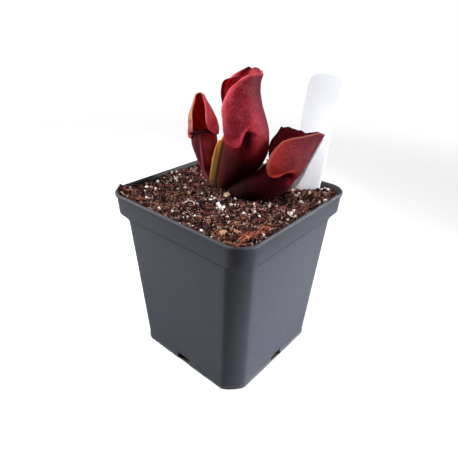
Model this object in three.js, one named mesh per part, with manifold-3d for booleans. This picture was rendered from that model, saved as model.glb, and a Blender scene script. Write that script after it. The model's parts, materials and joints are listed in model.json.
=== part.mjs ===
// A young purple pitcher plant in a square nursery pot, with its plant label.
// Millimetres, +Z up. The origin is the centre of the pot's underside; the pot's walls face X and Y.
import * as THREE from "three";
import { mergeVertices } from "three/addons/utils/BufferGeometryUtils.js";
import Module from "manifold-3d";

const wasm = await Module();
wasm.setup();

// ---- Driving dimensions ----

const gap = 0.3; // clearance between neighbouring pieces

// Half widths of the pot are those of its flat walls.
const pot = {
  height: 95.4,
  wall: 1.2,
  floor: 1.6,
  footHalf: 37.4,
  shoulderHalf: 41.4, // top of the tapered body, under the collar
  shoulderZ: 78.8,
  collarZ: 82.2,
  collarHalf: 43.8,
  lipZ: 91.4,
  lipRootHalf: 44.1,
  lipHalf: 45,
  cornerSteps: 5,
};
const drain = { width: 9, height: 4.6, depth: 6.5 }; // one notch in the middle of each bottom edge

const soil = { level: 92.1, cell: 4.8, roughness: 0.45, seed: 11 };
const grains = { count: 60, smallest: 1, largest: 2.3, spread: 38 };
const bark = { x: 33.5, y: -26, length: 13, width: 6, turn: 62 };

// The plant's own frame stands on the crown, at soil level, and is turned against the pot.
const plant = { x: -4.4, y: 1.9, turn: 40.75, size: 0.988 };
const leafWall = 0.8;
const rhizome = { radius: 6, top: -1.2, depth: 24, rootLength: 36, rootRadius: 1.1 };

const label = { width: 15.9, length: 77, thick: 0.9, corner: 5, crown: 1, point: 16 };
const labelPlace = { x: 23.0, y: 33.7, bottom: 76.1, turn: 26.3, lean: 3.5 };

// Each pitcher is one leaf: a tube along a spine, whose back rises into a hood that wraps forward.
// spine, front: [right, away, up] in the plant's frame; radii: along the spine.
// wing: how far the keel down the tube's front stands out, along the spine.
// axil: where the hood leaves the rim, as an angle from the back, and its height.
// lip: the height of the rim's front; roll: the radius of its rolled edge.
// back: [forward, up] of the hood's midline; edge: [sideways, forward, up] of its free edge.
// tuck: how late the lowest rows come down to the edge.
// fall: how late the top edge comes down from the midline.
// skew, twist: how much higher, and further forward, its far side is.
// beak: how pointed the top is, from 0 to 1; ruffle: depth of the edge's waves.
const pitchers = {
  pitcher_tall: {
    spine: [
      [-1.4, 0.3, 0.6],
      [-1, 0.1, 5],
      [2.2, 0, 11],
      [6.2, 0, 17.6],
      [9.1, 0, 24.4],
      [9.6, 0, 31],
    ],
    radii: [2.4, 4.4, 7.2, 10.2, 11.6, 11.2],
    front: [-1, 0.08, 0],
    wing: [3, 4.2, 4.4, 4.4, 3.6, 1],
    axil: { angle: 86, up: 4.4 },
    lip: 0.5,
    roll: 0.35,
    back: [[-10.3, 4.5], [-8.2, 10.5], [-5.9, 16], [-4.2, 21.5], [-3.9, 26.5], [-4.3, 30.4]],
    edge: [
      [13, 1.2, 4.4],
      [13.2, 3.6, -1.2],
      [12.2, 6.2, -2.6],
      [10.8, 9, -0.6],
      [9.2, 10.9, 4],
      [8, 12, 9.4],
      [7.2, 14, 15],
      [6.4, 14.8, 20.6],
    ],
    tuck: 16,
    fall: 3.6,
    skew: 2.4,
    twist: 1.1,
    beak: 0,
    ruffle: 0.5,
  },
  pitcher_left: {
    spine: [
      [-5.8, 3.8, 1.4],
      [-8.9, 6.4, 4.9],
      [-11.5, 9, 9.6],
      [-12.4, 10.6, 15.6],
      [-12.9, 11.4, 22],
      [-13.2, 11.6, 28],
    ],
    radii: [1.7, 2, 2.8, 4.4, 6.2, 6.8],
    front: [-0.2, -1, 0],
    wing: [0.6, 1.4, 1.8, 1.6, 1, 0.3],
    axil: { angle: 90, up: 0 },
    lip: 2.2,
    roll: 0.7,
    back: [[-7.6, 4.5], [-7.2, 9], [-5.6, 13.5], [-3.9, 17.5], [-2.8, 20.8]],
    edge: [
      [8.4, 0.8, 0.6],
      [8.6, 2.8, -1.2],
      [7, 5.8, 1],
      [3.8, 8, 5],
      [3.2, 6.7, 9.4],
      [2.8, 4.3, 13.4],
      [2.2, 1.9, 17],
      [1.6, -0.6, 20.4],
    ],
    tuck: 12,
    fall: 1.7,
    skew: 0,
    twist: 0,
    beak: 0,
    ruffle: 0.3,
  },
  pitcher_right: {
    spine: [
      [3.4, -3.6, 1.8],
      [9.2, -7, 4.4],
      [15, -7.6, 6.2],
      [20.2, -7.2, 7.9],
      [24.5, -6.4, 10.6],
      [27.2, -5.6, 14.1],
    ],
    radii: [2.2, 4.2, 6.1, 7.8, 8.7, 8.7],
    front: [-0.9, 0.08, 0.45],
    wing: [0.4, 0.8, 0.8, 0.8, 0.6, 0.2],
    axil: { angle: 86, up: 1.2 },
    lip: 0,
    roll: 0.4,
    back: [[-8.9, 5], [-8.3, 10.5], [-7.6, 16], [-6.8, 21.6], [-6, 27]],
    edge: [
      [10.4, 0.8, 1.4],
      [10.6, 3.2, -1],
      [10.2, 6.4, -2.2],
      [9.6, 9, -0.4],
      [9.2, 10.5, 4],
      [8.8, 11.5, 9.4],
      [8.4, 12.2, 14.4],
    ],
    tuck: 9,
    fall: 1.5,
    skew: 4.8,
    twist: 0,
    beak: 1,
    ruffle: 0.5,
  },
};
// Rows of the sheet, and its columns each way: from the hood's midline to its edge, and on to the wing.
const leafSteps = { hoodSide: 9, frontSide: 4, tube: 10, hood: 12, lip: 2 };
const wingHalf = 0.5; // half thickness of the wing

// ---- Materials ----

const paint = (color, roughness) => new THREE.MeshStandardMaterial({ color, roughness, metalness: 0 });
const plastic = paint(0x4c5057, 0.45);
const compost = paint(0x3b2219, 0.95);
const leafRed = paint(0x7c1722, 0.5);
const rootBrown = paint(0x4a2a1c, 0.85);
const white = paint(0xe9eaf0, 0.35);

// ---- Shared geometry ----

const lerp = THREE.MathUtils.lerp;
const smooth = THREE.MathUtils.smoothstep;
const radians = THREE.MathUtils.degToRad;
const vec = (p) => new THREE.Vector3(...p);

// A repeatable random number from 0 to 1.
function randomFrom(seed) {
  let state = seed;
  return () => {
    state = (state * 16807) % 2147483647;
    return (state - 1) / 2147483646;
  };
}

// The value at t, from 0 to 1, on a smooth curve through equally spaced keys (numbers, or lists of them).
function along(keys, t) {
  const last = keys.length - 1;
  const x = Math.min(Math.max(t, 0), 1) * last;
  const i = Math.min(Math.floor(x), last - 1);
  const f = x - i;
  const spline = (a, b, c, d) =>
    0.5 * (2 * b + (c - a) * f + (2 * a - 5 * b + 4 * c - d) * f * f + (3 * b - a - 3 * c + d) * f ** 3);
  const pick = (part) => {
    const b = part(keys[i]);
    const c = part(keys[i + 1]);
    const a = i > 0 ? part(keys[i - 1]) : 2 * b - c;
    const d = i + 2 <= last ? part(keys[i + 2]) : 2 * c - b;
    return spline(a, b, c, d);
  };
  return Array.isArray(keys[0]) ? keys[0].map((_, k) => pick((key) => key[k])) : pick((key) => key);
}

function geometryOf(points, triangles) {
  const geometry = new THREE.BufferGeometry();
  geometry.setAttribute("position", new THREE.Float32BufferAttribute(points.flat(), 3));
  geometry.setIndex(triangles.flat());
  return geometry;
}

function solidOf(geometry) {
  const bare = geometry.clone();
  bare.deleteAttribute("normal");
  bare.deleteAttribute("uv");
  const merged = mergeVertices(bare, 1e-4);
  return new wasm.Manifold(
    new wasm.Mesh({
      numProp: 3,
      vertProperties: merged.attributes.position.array,
      triVerts: new Uint32Array(merged.index.array),
    }),
  );
}

function geometryFrom(solid) {
  const mesh = solid.getMesh();
  const geometry = new THREE.BufferGeometry();
  geometry.setAttribute("position", new THREE.Float32BufferAttribute(mesh.vertProperties, mesh.numProp));
  geometry.setIndex(new THREE.BufferAttribute(mesh.triVerts, 1));
  return geometry;
}

function meshOf(name, geometry, material) {
  const mesh = new THREE.Mesh(geometry, material);
  mesh.name = name;
  return mesh;
}

// A closed solid through rings of equally many points, each counter-clockwise seen from the end it runs to.
function loft(rings) {
  const count = rings[0].length;
  const points = rings.flat();
  const triangles = [];
  for (let r = 0; r + 1 < rings.length; r++)
    for (let i = 0; i < count; i++) {
      const a = r * count + i;
      const b = r * count + ((i + 1) % count);
      triangles.push([a, b, b + count], [a, b + count, a + count]);
    }
  const middle = (ring) => [0, 1, 2].map((k) => ring.reduce((sum, p) => sum + p[k], 0) / count);
  const first = points.push(middle(rings[0])) - 1;
  const final = points.push(middle(rings[rings.length - 1])) - 1;
  const top = (rings.length - 1) * count;
  for (let i = 0; i < count; i++) {
    const j = (i + 1) % count;
    triangles.push([first, j, i], [final, top + i, top + j]);
  }
  return geometryOf(points, triangles);
}

// ---- Pot ----

// A square ring of half width half: each corner is cut over reach, more rounded as roundness nears 0.55.
function squareRing(half, reach, roundness, z) {
  const handle = reach * (1 - roundness);
  const corner = new THREE.CubicBezierCurve(
    new THREE.Vector2(half, half - reach),
    new THREE.Vector2(half, half - handle),
    new THREE.Vector2(half - handle, half),
    new THREE.Vector2(half - reach, half),
  ).getPoints(pot.cornerSteps);
  const quarter = new THREE.Vector2();
  return [0, 1, 2, 3].flatMap((turn) =>
    corner.map((p) => {
      quarter.copy(p).rotateAround(new THREE.Vector2(), (turn * Math.PI) / 2);
      return [quarter.x, quarter.y, z];
    }),
  );
}

const bodyRing = (half, z) => squareRing(half, 10, 0.16, z);
const collarRing = (half, z) => squareRing(half, 9.6, 0.36, z);
const lipRing = (half, z) => squareRing(half, 9.6, 0.5, z);

function makePot() {
  const { wall } = pot;
  return loft([
    bodyRing(pot.footHalf - 0.9, 0),
    bodyRing(pot.footHalf, 1),
    bodyRing(pot.shoulderHalf, pot.shoulderZ),
    collarRing(pot.collarHalf, pot.collarZ),
    collarRing(pot.lipRootHalf, pot.lipZ),
    lipRing(pot.lipHalf, pot.height - 1.2),
    lipRing(pot.lipHalf - 0.5, pot.height),
    lipRing(pot.lipHalf - 1.6, pot.height),
    collarRing(pot.lipRootHalf - wall, pot.lipZ + wall),
    collarRing(pot.collarHalf - wall, pot.collarZ + wall / 2),
    bodyRing(pot.shoulderHalf - wall, pot.shoulderZ + wall / 2),
    bodyRing(pot.footHalf - wall, pot.floor),
  ]);
}

// The notches break through the wall and the rim of the floor.
function cutDrains(potSolid) {
  const { width, height, depth } = drain;
  let cut = potSolid;
  for (let side = 0; side < 4; side++) {
    const box = new THREE.BoxGeometry(width, depth * 2, height * 2);
    box.translate(0, pot.footHalf + 0.1, 0);
    box.rotateZ((side * Math.PI) / 2);
    cut = cut.subtract(solidOf(box));
  }
  return cut;
}

// ---- Soil ----

// Gentle waves stand for the heaped mix. It dips along the walls, at the crown and under the right pitcher.
const dents = [
  { x: plant.x, y: plant.y, reach: 9, depth: 1.4 },
  { x: 10.6, y: 6.6, reach: 9, depth: 1.8 },
  { x: 19.6, y: 6.6, reach: 9, depth: 1.6 },
];

function soilHeight(x, y) {
  const waves =
    Math.sin(x * 0.31 + y * 0.12) * Math.cos(y * 0.27 - x * 0.08) +
    0.7 * Math.sin(x * 0.83 + 1.7) * Math.sin(y * 0.74 + 0.4) +
    0.5 * Math.sin(x * 1.7 - y * 1.3);
  const toWall = Math.max(Math.abs(x), Math.abs(y));
  const dip = (d) => d.depth * Math.exp(-((x - d.x) ** 2 + (y - d.y) ** 2) / d.reach ** 2);
  const dent = Math.max(...dents.map(dip));
  return soil.level + soil.roughness * waves - dent - 1.2 * smooth(toWall, 34, 43);
}

function soilBlock() {
  const random = randomFrom(soil.seed);
  const reach = pot.lipHalf + soil.cell;
  const count = Math.round((2 * reach) / soil.cell);
  const step = (2 * reach) / count;
  const base = -5;
  const points = [];
  for (let j = 0; j <= count; j++)
    for (let i = 0; i <= count; i++) {
      const x = -reach + i * step + (random() - 0.5) * step * 0.5;
      const y = -reach + j * step + (random() - 0.5) * step * 0.5;
      points.push([x, y, soilHeight(x, y) + (random() - 0.5) * 0.6]);
    }
  const row = count + 1;
  const triangles = [];
  for (let j = 0; j < count; j++)
    for (let i = 0; i < count; i++) {
      const a = j * row + i;
      triangles.push([a, a + 1, a + row + 1], [a, a + row + 1, a + row]);
    }
  const rim = [];
  for (let i = 0; i < count; i++) rim.push(i);
  for (let j = 0; j < count; j++) rim.push(j * row + count);
  for (let i = count; i > 0; i--) rim.push(count * row + i);
  for (let j = count; j > 0; j--) rim.push(j * row);
  const foot = rim.map((a) => points.push([points[a][0], points[a][1], base]) - 1);
  const bottom = points.push([0, 0, base]) - 1;
  rim.forEach((a, k) => {
    const next = (k + 1) % rim.length;
    triangles.push([a, foot[k], foot[next]], [a, foot[next], rim[next]], [bottom, foot[next], foot[k]]);
  });
  return solidOf(geometryOf(points, triangles));
}

// The room inside the pot, less the clearance.
function potRoom() {
  const inner = pot.wall + 1.3 * gap;
  return solidOf(
    loft([
      bodyRing(pot.footHalf - inner, pot.floor + gap),
      bodyRing(pot.shoulderHalf - inner, pot.shoulderZ + pot.wall / 2),
      collarRing(pot.collarHalf - inner, pot.collarZ + pot.wall),
      collarRing(pot.lipRootHalf - inner, pot.lipZ + pot.wall),
      collarRing(pot.lipRootHalf - inner, pot.height + 6),
    ]),
  );
}

// Perlite grains and crumbs lie half sunk in the soil, clear of the crown and the label.
function scatterGrains() {
  const random = randomFrom(soil.seed + 7);
  const found = [];
  while (found.length < grains.count) {
    const x = (random() * 2 - 1) * grains.spread;
    const y = (random() * 2 - 1) * grains.spread;
    const size = lerp(grains.smallest, grains.largest, random() ** 2);
    const squash = lerp(0.6, 1, random());
    const turn = random() * Math.PI;
    const clearOfCrown = Math.hypot(x - plant.x, y - plant.y) > 13 && Math.hypot(x - 11.6, y - 7.6) > 17;
    const clearOfLabel = Math.hypot(x - labelPlace.x, y - labelPlace.y) > 12;
    if (!clearOfCrown || !clearOfLabel || Math.abs(x) + Math.abs(y) > 69) continue;
    const grain = new THREE.IcosahedronGeometry(size, 0);
    grain.scale(1, squash, 0.85).rotateX(turn).rotateZ(2 * turn);
    grain.translate(x, y, soilHeight(x, y) - 0.05 * size);
    found.push(solidOf(grain));
  }
  return wasm.Manifold.union(found);
}

// A long chip of bark near the front corner.
function barkChip() {
  const chip = new THREE.CylinderGeometry(bark.width / 2, bark.width / 2.6, bark.length, 7, 3);
  chip.scale(1, 1, 0.55).rotateZ(Math.PI / 2).rotateZ(radians(bark.turn));
  chip.translate(bark.x, bark.y, soilHeight(bark.x, bark.y) + 0.4);
  return solidOf(chip);
}

// ---- Rhizome and roots ----

const crown = new THREE.Matrix4()
  .makeTranslation(plant.x, plant.y, soil.level)
  .multiply(new THREE.Matrix4().makeRotationZ(radians(plant.turn)))
  .scale(vec([plant.size, plant.size, plant.size]));

// The rhizome tapers downwards and is ringed with the scars of old leaves. extra widens it for its hole.
function rhizomeBody(extra) {
  const rings = 7;
  const around = 12;
  const { radius, top, depth } = rhizome;
  const profile = [];
  for (let k = 0; k <= rings; k++) {
    const t = k / rings;
    const scar = extra ? 0.5 : 0.35 * (k % 2);
    const width = radius * lerp(0.45, 1, Math.sin(t * Math.PI * 0.62)) + scar + extra;
    profile.push(new THREE.Vector2(width, top - depth * (1 - t) - (extra && k === 0 ? extra : 0)));
  }
  const foot = new THREE.Vector2(0, profile[0].y);
  const head = new THREE.Vector2(0, profile[rings].y);
  if (extra) {
    profile.push(new THREE.Vector2(profile[rings].x, 12));
    head.y = 12;
  }
  const body = new THREE.LatheGeometry([foot, ...profile, head], around);
  return solidOf(body.rotateX(Math.PI / 2));
}

// A round tapering solid along a path of points.
function taperedTube(path, radii, sides) {
  const start = new THREE.Vector3(1, 0, 0);
  const rings = path.map((middle, k) => {
    const axis = path[Math.min(k + 1, path.length - 1)].clone().sub(path[Math.max(k - 1, 0)]).normalize();
    const u = new THREE.Vector3().crossVectors(axis, start).normalize();
    const v = new THREE.Vector3().crossVectors(axis, u);
    return Array.from({ length: sides }, (_, i) => {
      const a = (i / sides) * 2 * Math.PI;
      const point = middle.clone().addScaledVector(u, radii[k] * Math.cos(a));
      return point.addScaledVector(v, radii[k] * Math.sin(a)).toArray();
    });
  });
  return loft(rings);
}

// Roots leave the rhizome's lower half, spread and go down.
function rootSet(extra) {
  const { top, depth, rootLength, rootRadius } = rhizome;
  const steps = 5;
  const found = [];
  for (let k = 0; k < 5; k++) {
    const heading = radians(20 + 72 * k);
    const path = [];
    const radii = [];
    for (let s = 0; s <= steps; s++) {
      const t = s === steps ? 1 + extra / rootLength : s / steps;
      const out = 1.5 + (11 + 3 * (k % 2)) * Math.sin(t * 1.2);
      const z = top - depth * 0.6 - rootLength * (0.5 * t + 0.5 * t * t) - 3 * (k % 3);
      path.push(new THREE.Vector3(Math.cos(heading) * out, Math.sin(heading) * out, z));
      radii.push(rootRadius * lerp(1.1, 0.6, t) + 1.25 * extra);
    }
    found.push(solidOf(taperedTube(path, radii, 6)));
  }
  return wasm.Manifold.union(found);
}

const rhizomeSolid = (extra) => rhizomeBody(extra).add(rootSet(extra));

// ---- Pitchers ----

// The sheet of a pitcher: points, their push outwards where the wing is, and faces.
function pitcherSheet(leaf) {
  const { hoodSide, frontSide, tube, hood, lip } = leafSteps;
  const axilAngle = radians(leaf.axil.angle);
  const around = hoodSide + frontSide + 3; // three columns on each side make the wing
  const columns = 2 * around;
  const front = vec(leaf.front).normalize();

  // Columns crowd a little towards the free edge.
  const shareOf = (a) => 1 - (1 - a / hoodSide) ** 1.6;
  // The angle from the back of column i, which runs from -around at the front to around.
  const angleOf = (i, radius) => {
    const a = Math.abs(i);
    const fromFront = around - a;
    const wingFoot = Math.PI - (3.4 * wingHalf) / radius;
    const angle =
      a <= hoodSide
        ? axilAngle * shareOf(a)
        : fromFront < 3
          ? Math.PI - ([0, 1, 2.1][fromFront] * wingHalf) / radius
          : lerp(axilAngle, wingFoot, (a - hoodSide) / frontSide);
    return Math.sign(i) * angle;
  };

  const frameAt = (t) => {
    const middle = vec(along(leaf.spine, t));
    const before = vec(along(leaf.spine, Math.max(t - 0.02, 0)));
    const axis = vec(along(leaf.spine, Math.min(t + 0.02, 1))).sub(before).normalize();
    const forward = front.clone().addScaledVector(axis, -front.dot(axis)).normalize();
    return { middle, axis, forward, sideways: new THREE.Vector3().crossVectors(forward, axis) };
  };
  const points = [];
  const outward = []; // the way out of the leaf at each point, from its angle
  const push = []; // direction and distance of the wing
  const triangles = [];
  const add = (frame, angle, side, forward, up, wing = 0) => {
    const point = frame.middle.clone();
    point.addScaledVector(frame.sideways, side).addScaledVector(frame.forward, forward);
    const out = frame.sideways.clone().multiplyScalar(Math.sin(angle));
    outward.push(out.addScaledVector(frame.forward, -Math.cos(angle)));
    push.push(frame.forward.clone().multiplyScalar(wing));
    return points.push(point.addScaledVector(frame.axis, up)) - 1;
  };
  const rimUp = (angle) => {
    const a = Math.abs(angle);
    return a <= axilAngle
      ? leaf.axil.up * (a / axilAngle) ** 1.6
      : lerp(leaf.axil.up, leaf.lip, smooth(a, axilAngle, Math.PI));
  };

  const foot = add(frameAt(0), 0, 0, 0, -0.6 * leaf.radii[0]);
  outward[foot] = frameAt(0).axis.multiplyScalar(-1.2);
  const rows = [];
  for (let r = 0; r <= tube; r++) {
    const t = r / tube;
    const frame = frameAt(t);
    const radius = along(leaf.radii, t);
    const wing = along(leaf.wing, t);
    const row = [];
    for (let i = -around; i < around; i++) {
      const angle = angleOf(i, radius);
      const share = [1, 0.94, 0.08][around - Math.abs(i)] ?? 0;
      const lift = rimUp(angle) * smooth(t, 0.6, 1);
      row.push(add(frame, angle, radius * Math.sin(angle), -radius * Math.cos(angle), lift, wing * share));
    }
    rows.push(row);
  }
  // Joins two rows, each quad across its shorter diagonal. A row may share its end point with the next.
  const knit = (lower, upper) => {
    for (let k = 0; k + 1 < upper.length; k++) {
      const [a, b, c, d] = [lower[k], lower[k + 1], upper[k + 1], upper[k]];
      if (b === c) triangles.push([a, b, d]);
      else if (a === d) triangles.push([a, b, c]);
      else if (points[a].distanceTo(points[c]) < points[b].distanceTo(points[d]))
        triangles.push([a, b, c], [a, c, d]);
      else triangles.push([a, b, d], [b, c, d]);
    }
  };
  rows.forEach((row, r) => {
    if (r > 0) knit([...rows[r - 1], rows[r - 1][0]], [...row, row[0]]);
  });
  for (let i = 0; i < columns; i++) triangles.push([foot, rows[0][(i + 1) % columns], rows[0][i]]);

  // The lip rolls outwards and down along the front of the mouth.
  const mouth = frameAt(1);
  const mouthRadius = leaf.radii[leaf.radii.length - 1];
  const frontColumns = [];
  for (let i = hoodSide; i <= columns - hoodSide; i++) frontColumns.push(i);
  let lower = frontColumns.map((i) => rows[tube][(i + around) % columns]);
  for (let r = 1; r <= lip; r++) {
    const roll = (r / lip) * radians(130);
    const upper = frontColumns.map((i, k) => {
      const edge = Math.min(k, frontColumns.length - 1 - k);
      if (edge === 0) return lower[k];
      const grown = smooth(edge, 0, 3.5);
      const size = leaf.roll * grown;
      const angle = angleOf(i <= around ? i : i - columns, mouthRadius);
      const radius = mouthRadius + size * (1 - Math.cos(roll));
      const up = rimUp(angle) + size * Math.sin(roll);
      const point = add(mouth, angle, radius * Math.sin(angle), -radius * Math.cos(angle), up);
      const turned = roll * grown;
      outward[point].multiplyScalar(Math.cos(turned)).addScaledVector(mouth.axis, -Math.sin(turned));
      return point;
    });
    knit(lower, upper);
    lower = upper;
  }

  // Each row of the hood is an arc from edge to edge through the midline.
  const backKeys = [[-mouthRadius, 0], ...leaf.back];
  const edgeKeys = [
    [mouthRadius * Math.sin(axilAngle), -mouthRadius * Math.cos(axilAngle), leaf.axil.up],
    ...leaf.edge,
  ];
  const hoodColumns = [];
  for (let i = -hoodSide; i <= hoodSide; i++) hoodColumns.push(i);
  lower = hoodColumns.map((i) => rows[tube][i + around]);
  for (let r = 1; r <= hood; r++) {
    const q = r / hood;
    const [backForward, backUp] = along(backKeys, q);
    const [edgeSide, edgeForward, edgeUp] = along(edgeKeys, q);
    const reach = edgeForward - backForward;
    const radius = (edgeSide ** 2 + reach ** 2) / (2 * reach);
    const halfAngle = Math.atan2(edgeSide, radius - reach);
    const pointed = leaf.beak * smooth(q, 0.5, 1);
    const upper = hoodColumns.map((i) => {
      const out = shareOf(Math.abs(i));
      const p = Math.sign(i) * out;
      const nearEdge = smooth(out, 0.6, 1);
      const wave = Math.sin(q * 15 + p * 9) * Math.max(nearEdge * smooth(q, 0, 0.2), smooth(q, 0.8, 1));
      const size = radius + leaf.ruffle * wave;
      const side = lerp(size * Math.sin(p * halfAngle), p * out ** 0.3 * edgeSide, 0.9 * pointed);
      const round = backForward + radius - size * Math.cos(p * halfAngle);
      const forward = lerp(round, backForward + out * reach, pointed) + leaf.twist * p * smooth(q, 0.5, 1);
      // Low rows keep to the rim's height until they are past the axil.
      const hold = 1 - smooth(q, 0, 0.5);
      const drop = out ** lerp(leaf.fall, leaf.tuck, hold);
      const rim = hold * (rimUp(axilAngle * out) - drop * leaf.axil.up);
      const up = lerp(backUp, edgeUp, drop) + rim + leaf.skew * p * smooth(q, 0.5, 1);
      const flatFacing = Math.sign(i) * (Math.PI / 2 - Math.atan2(edgeSide, reach));
      const facing = lerp(p * halfAngle, flatFacing, pointed);
      return add(mouth, facing, side, forward, up);
    });
    knit(lower, upper);
    lower = upper;
  }
  return { points, outward, push, triangles };
}

// Gives the sheet its wall: an inner face behind the outer one, and a strip round the open edge.
function thicken({ points, outward, push, triangles }) {
  const normals = points.map(() => new THREE.Vector3());
  const ab = new THREE.Vector3();
  const ac = new THREE.Vector3();
  for (const [a, b, c] of triangles) {
    const face = ab.subVectors(points[b], points[a]).cross(ac.subVectors(points[c], points[a]));
    for (const i of [a, b, c]) normals[i].add(face);
  }
  const outer = points.map((p, i) => p.clone().add(push[i]));
  const inner = points.map((p, i) => {
    const facing = Math.max(normals[i].normalize().dot(outward[i]), 0.75);
    return p.clone().addScaledVector(outward[i], -leafWall / facing);
  });
  const count = points.length;
  const faces = [...triangles, ...triangles.map(([a, b, c]) => [a + count, c + count, b + count])];
  const edges = new Set(triangles.flatMap(([a, b, c]) => [`${a} ${b}`, `${b} ${c}`, `${c} ${a}`]));
  for (const edge of edges) {
    const [a, b] = edge.split(" ").map(Number);
    if (!edges.has(`${b} ${a}`)) faces.push([b, a, a + count], [b, a + count, b + count]);
  }
  return geometryOf([...outer, ...inner].map((p) => p.toArray()), faces);
}

// ---- Label ----

function labelShape() {
  const half = label.width / 2;
  const { corner, crown, point, length } = label;
  const outline = new THREE.Shape();
  outline.moveTo(0, 0);
  outline.lineTo(half, point);
  outline.lineTo(half, length - corner - crown);
  outline.quadraticCurveTo(half, length - crown, half - corner, length - crown / 2);
  outline.quadraticCurveTo(0, length, corner - half, length - crown / 2);
  outline.quadraticCurveTo(-half, length - crown, -half, length - corner - crown);
  outline.lineTo(-half, point);
  outline.closePath();
  return outline;
}

function labelGeometry() {
  const settings = { depth: label.thick, bevelEnabled: false, curveSegments: 5 };
  const blade = new THREE.ExtrudeGeometry(labelShape(), settings);
  return blade.translate(0, 0, -label.thick / 2).rotateX(Math.PI / 2);
}

// The slot the label stands in, as wide as its blade.
function labelSlot() {
  const { width, thick, length } = label;
  const slot = new THREE.BoxGeometry(width + 2 * gap, thick + 2 * gap, length);
  return slot.translate(0, 0, length / 2 - gap);
}

const labelMatrix = new THREE.Matrix4()
  .makeTranslation(labelPlace.x, labelPlace.y, labelPlace.bottom)
  .multiply(new THREE.Matrix4().makeRotationZ(radians(labelPlace.turn)))
  .multiply(new THREE.Matrix4().makeRotationY(radians(labelPlace.lean)));

// ---- Assembly ----

const group = new THREE.Group();

group.add(meshOf("pot", geometryFrom(cutDrains(solidOf(makePot()))), plastic));

const rhizomeHole = solidOf(geometryFrom(rhizomeSolid(gap)).applyMatrix4(crown));
const labelHole = solidOf(labelSlot().applyMatrix4(labelMatrix));
const heap = soilBlock().add(scatterGrains()).add(barkChip()).intersect(potRoom());
const soilSolid = heap.subtract(rhizomeHole).subtract(labelHole).decompose();
soilSolid.sort((a, b) => b.volume() - a.volume());
group.add(meshOf("soil", geometryFrom(soilSolid[0]), compost));

const plantGroup = new THREE.Group();
plantGroup.applyMatrix4(crown);
plantGroup.add(meshOf("rhizome", geometryFrom(rhizomeSolid(0)), rootBrown));
for (const [name, leaf] of Object.entries(pitchers))
  plantGroup.add(meshOf(name, thicken(pitcherSheet(leaf)), leafRed));
group.add(plantGroup);

const labelMesh = meshOf("label", labelGeometry(), white);
labelMesh.applyMatrix4(labelMatrix);
group.add(labelMesh);

export default group;
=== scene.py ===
import json
import math

import bmesh
import bpy
import numpy as np
from mathutils import Matrix, Vector, noise
from mathutils.bvhtree import BVHTree

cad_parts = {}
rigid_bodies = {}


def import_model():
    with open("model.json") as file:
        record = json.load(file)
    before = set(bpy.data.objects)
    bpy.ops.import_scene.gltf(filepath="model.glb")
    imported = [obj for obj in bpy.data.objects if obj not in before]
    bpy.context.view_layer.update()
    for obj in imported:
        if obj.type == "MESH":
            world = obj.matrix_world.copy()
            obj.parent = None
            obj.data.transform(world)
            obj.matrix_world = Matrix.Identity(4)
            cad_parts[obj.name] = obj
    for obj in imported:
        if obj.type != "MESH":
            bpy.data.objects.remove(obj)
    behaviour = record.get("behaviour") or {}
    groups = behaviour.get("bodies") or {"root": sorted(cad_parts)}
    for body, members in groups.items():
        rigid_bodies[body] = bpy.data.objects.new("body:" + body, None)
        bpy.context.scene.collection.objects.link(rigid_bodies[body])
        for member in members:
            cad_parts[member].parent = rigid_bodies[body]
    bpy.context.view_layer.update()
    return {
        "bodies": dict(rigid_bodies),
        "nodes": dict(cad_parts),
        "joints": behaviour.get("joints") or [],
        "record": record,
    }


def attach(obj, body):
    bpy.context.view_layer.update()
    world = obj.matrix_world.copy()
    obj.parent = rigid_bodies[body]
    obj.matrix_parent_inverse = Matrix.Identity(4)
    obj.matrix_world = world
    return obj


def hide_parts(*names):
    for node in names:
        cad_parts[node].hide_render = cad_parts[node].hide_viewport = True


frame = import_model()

mm = 0.001  # sizes below are in millimetres, as the makers of pots and labels give them
scene = bpy.context.scene


def colour(red, green, blue, alpha=1.0):  # screen values 0 to 255 as the linear colour the shaders take
    def linear(value):
        share = value / 255
        return share / 12.92 if share <= 0.04045 else ((share + 0.055) / 1.055) ** 2.4
    return (linear(red), linear(green), linear(blue), alpha)


def lerp(a, b, t):
    return a + (b - a) * t


def smooth(x, low, high):
    t = np.clip((np.asarray(x, float) - low) / (high - low), 0, 1)
    return t * t * (3 - 2 * t)


def along(keys, t):  # value at t on a smooth curve through equally spaced keys
    keys = np.asarray(keys, float)
    last = len(keys) - 1
    x = min(max(t, 0.0), 1.0) * last
    i = min(int(x), last - 1)
    f = x - i
    padded = np.concatenate([[2 * keys[0] - keys[1]], keys, [2 * keys[-1] - keys[-2]]])
    a, b, c, d = padded[i:i + 4]
    squared = (2 * a - 5 * b + 4 * c - d) * f * f
    cubed = (3 * b - a - 3 * c + d) * f ** 3
    return 0.5 * (2 * b + (c - a) * f + squared + cubed)


def circle(count):  # evenly spaced angles
    return np.arange(count) / count * 2 * math.pi


def unit(vector):
    vector = np.asarray(vector, float)
    return vector / np.linalg.norm(vector, axis=-1, keepdims=True)


def bumps(points, size, seed):  # soft noise from -1 to 1 at each point, with lumps of that size
    shift = Vector((seed * 13.7, seed * 5.1, seed * 9.3))
    return np.array([noise.noise(Vector(p) / size + shift) for p in points])


def setValues(mesh, values):  # numbers at the points, which the materials read
    for key, numbers in values.items():
        layer = mesh.attributes.new(key, "FLOAT", "POINT")
        layer.data.foreach_set("value", np.asarray(numbers, np.float32))


def setSmooth(mesh, smoothly=True):
    mesh.polygons.foreach_set("use_smooth", np.full(len(mesh.polygons), smoothly))


def addObject(name, data):
    holder = bpy.data.objects.new(name, data)
    scene.collection.objects.link(holder)
    return holder


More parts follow.
